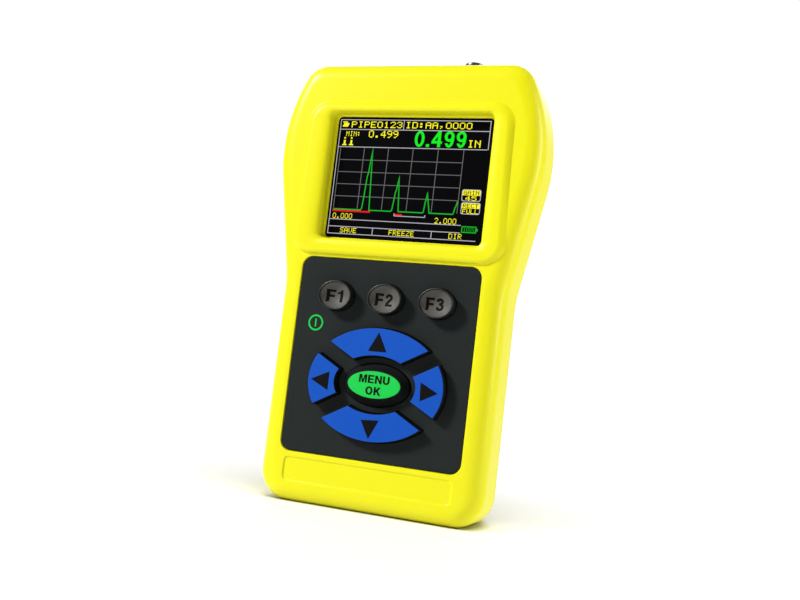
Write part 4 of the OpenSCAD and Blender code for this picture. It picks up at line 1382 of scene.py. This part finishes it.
@dataclass
class Studio:
    """Camera, lights and floor."""

    focal_px: float = 950.0
    frame_px: float = 800.0
    yaw: float = -20.88
    pitch: float = -5.02
    roll: float = 6.74
    shift: Spot = (-4.6, 339.1, 4.9)
    pivot: Spot = (0.0, -16.25, 80.7)
    aim: Spot = (0.0, 0.0, 0.09)
    sky: float = 0.22
    wall: float = 1.1
    fade: Point = (0.70, 0.87)
    floor_size: float = 8.0
    sun_power: float = 3.15
    sun_spread: float = 50.0
    sun_tilt: float = 28.0

    def turn(self) -> Matrix:
        """Turn from the photograph's axes to the frame's.

        Returns:
            The turn as a matrix.
        """
        view = Matrix.Identity(3)
        for angle, axis in ((self.roll, "Y"), (self.pitch, "X"), (self.yaw, "Z")):
            view = view @ Matrix.Rotation(math.radians(angle), 3, axis)
        return view.transposed()

    def camera(self) -> None:
        """Set the camera where the photograph was taken from."""
        back = self.turn()
        spot = back @ -Vector(self.shift) + Vector(self.pivot)
        axes = Matrix([back @ Vector(axis) for axis in ((1, 0, 0), (0, 0, 1), (0, -1, 0))]).transposed()
        data = bpy.data.cameras.new("view")
        data.sensor_fit = "HORIZONTAL"
        data.sensor_width = 36.0
        data.lens = self.focal_px / self.frame_px * data.sensor_width
        data.clip_start = 0.01
        eye = bpy.data.objects.new("view", data)
        eye.matrix_world = Matrix.Translation(spot * MM) @ axes.to_4x4()
        bpy.context.scene.collection.objects.link(eye)
        bpy.context.scene.camera = eye

    def world(self) -> None:
        """Set a dim room with a bright backdrop where the photograph looks."""
        room = bpy.data.worlds.new("pale_room")
        room.use_nodes = True
        tree = room.node_tree
        way = node(tree, "TexCoord")
        toward = node(tree, "VectorMath")
        toward.operation = "DOT_PRODUCT"
        toward.inputs[1].default_value = self.turn() @ Vector((0, 1, 0))
        level = node(tree, "MapRange", From_Min=self.fade[0], From_Max=self.fade[1], To_Min=self.sky, To_Max=self.wall)
        level.interpolation_type = "SMOOTHSTEP"
        back = tree.nodes["Background"]
        back.inputs["Color"].default_value = (1.0, 1.0, 1.0, 1.0)
        tree.links.new(way.outputs["Generated"], toward.inputs[0])
        tree.links.new(toward.outputs["Value"], level.inputs["Value"])
        tree.links.new(level.outputs["Result"], back.inputs["Strength"])
        bpy.context.scene.world = room

    def floor(self) -> Obj:
        """Lay the pale floor.

        Returns:
            The floor.
        """
        bpy.ops.object.select_all(action="DESELECT")
        bpy.ops.mesh.primitive_plane_add(size=self.floor_size)
        floor = bpy.context.view_layer.objects.active
        floor.name = "floor"
        floor.data.materials.append(Finishes.FLOOR.value.material())
        return floor

    def lamp(self, name: str, spot: Spot, size: Point, watts: float) -> Obj:
        """Add one soft rectangular lamp that faces the gauge.

        Args:
            name: Name of the lamp.
            spot: Its place in metres.
            size: Width and height in metres.
            watts: Power.

        Returns:
            The lamp.
        """
        data = bpy.data.lights.new(name, "AREA")
        data.shape = "RECTANGLE"
        data.size, data.size_y = size
        data.energy = watts
        obj = bpy.data.objects.new(name, data)
        obj.location = spot
        obj.rotation_euler = (Vector(self.aim) - Vector(spot)).to_track_quat("-Z", "Y").to_euler()
        bpy.context.scene.collection.objects.link(obj)
        return obj

    def overhead(self) -> Obj:
        """Add the broad light over the floor.

        Returns:
            The light.
        """
        data = bpy.data.lights.new("top_light", "SUN")
        data.energy = self.sun_power
        data.angle = math.radians(self.sun_spread)
        sun = bpy.data.objects.new("top_light", data)
        sun.rotation_euler = (math.radians(self.sun_tilt), 0.0, math.radians(-self.yaw))
        bpy.context.scene.collection.objects.link(sun)
        return sun

    def build(self) -> None:
        """Set the world, the floor, the lamps and the camera; the sun reaches only the floor, the lamps all else."""
        bpy.context.scene.view_settings.view_transform = "Standard"
        self.world()
        floor = self.floor()
        reach = {self.overhead(): "INCLUDE",
                 self.lamp("key_lamp", (-1.64, -1.24, 1.39), (0.44, 0.44), 74.0): "EXCLUDE",
                 self.lamp("side_lamp", (0.8, 0.05, 0.35), (0.2, 0.6), 4.5): "EXCLUDE",
                 self.lamp("back_lamp", (0.1, 0.8, 0.7), (0.8, 0.4), 3.0): "EXCLUDE"}
        for lamp, state in reach.items():
            group = bpy.data.collections.new(f"{lamp.name}_reach")
            group.objects.link(floor)
            group.collection_objects[0].light_linking.link_state = state
            lamp.light_linking.receiver_collection = group
        self.camera()


def main() -> None:
    """Build every piece of the gauge and its studio."""
    logging.basicConfig(level=logging.INFO, format="%(message)s")
    Studio().build()
    outline = CaseOutline()
    front = FrontShell(outline)
    front.build()
    DisplayFrame(front).build()
    rear = RearShell(outline)
    rear.build()
    BackDoor().build(rear.screws)
    Screen().build()
    Keypad().build()
    ProbeSocket().build()
    Inside().dress()


if __name__ == "__main__":
    main()
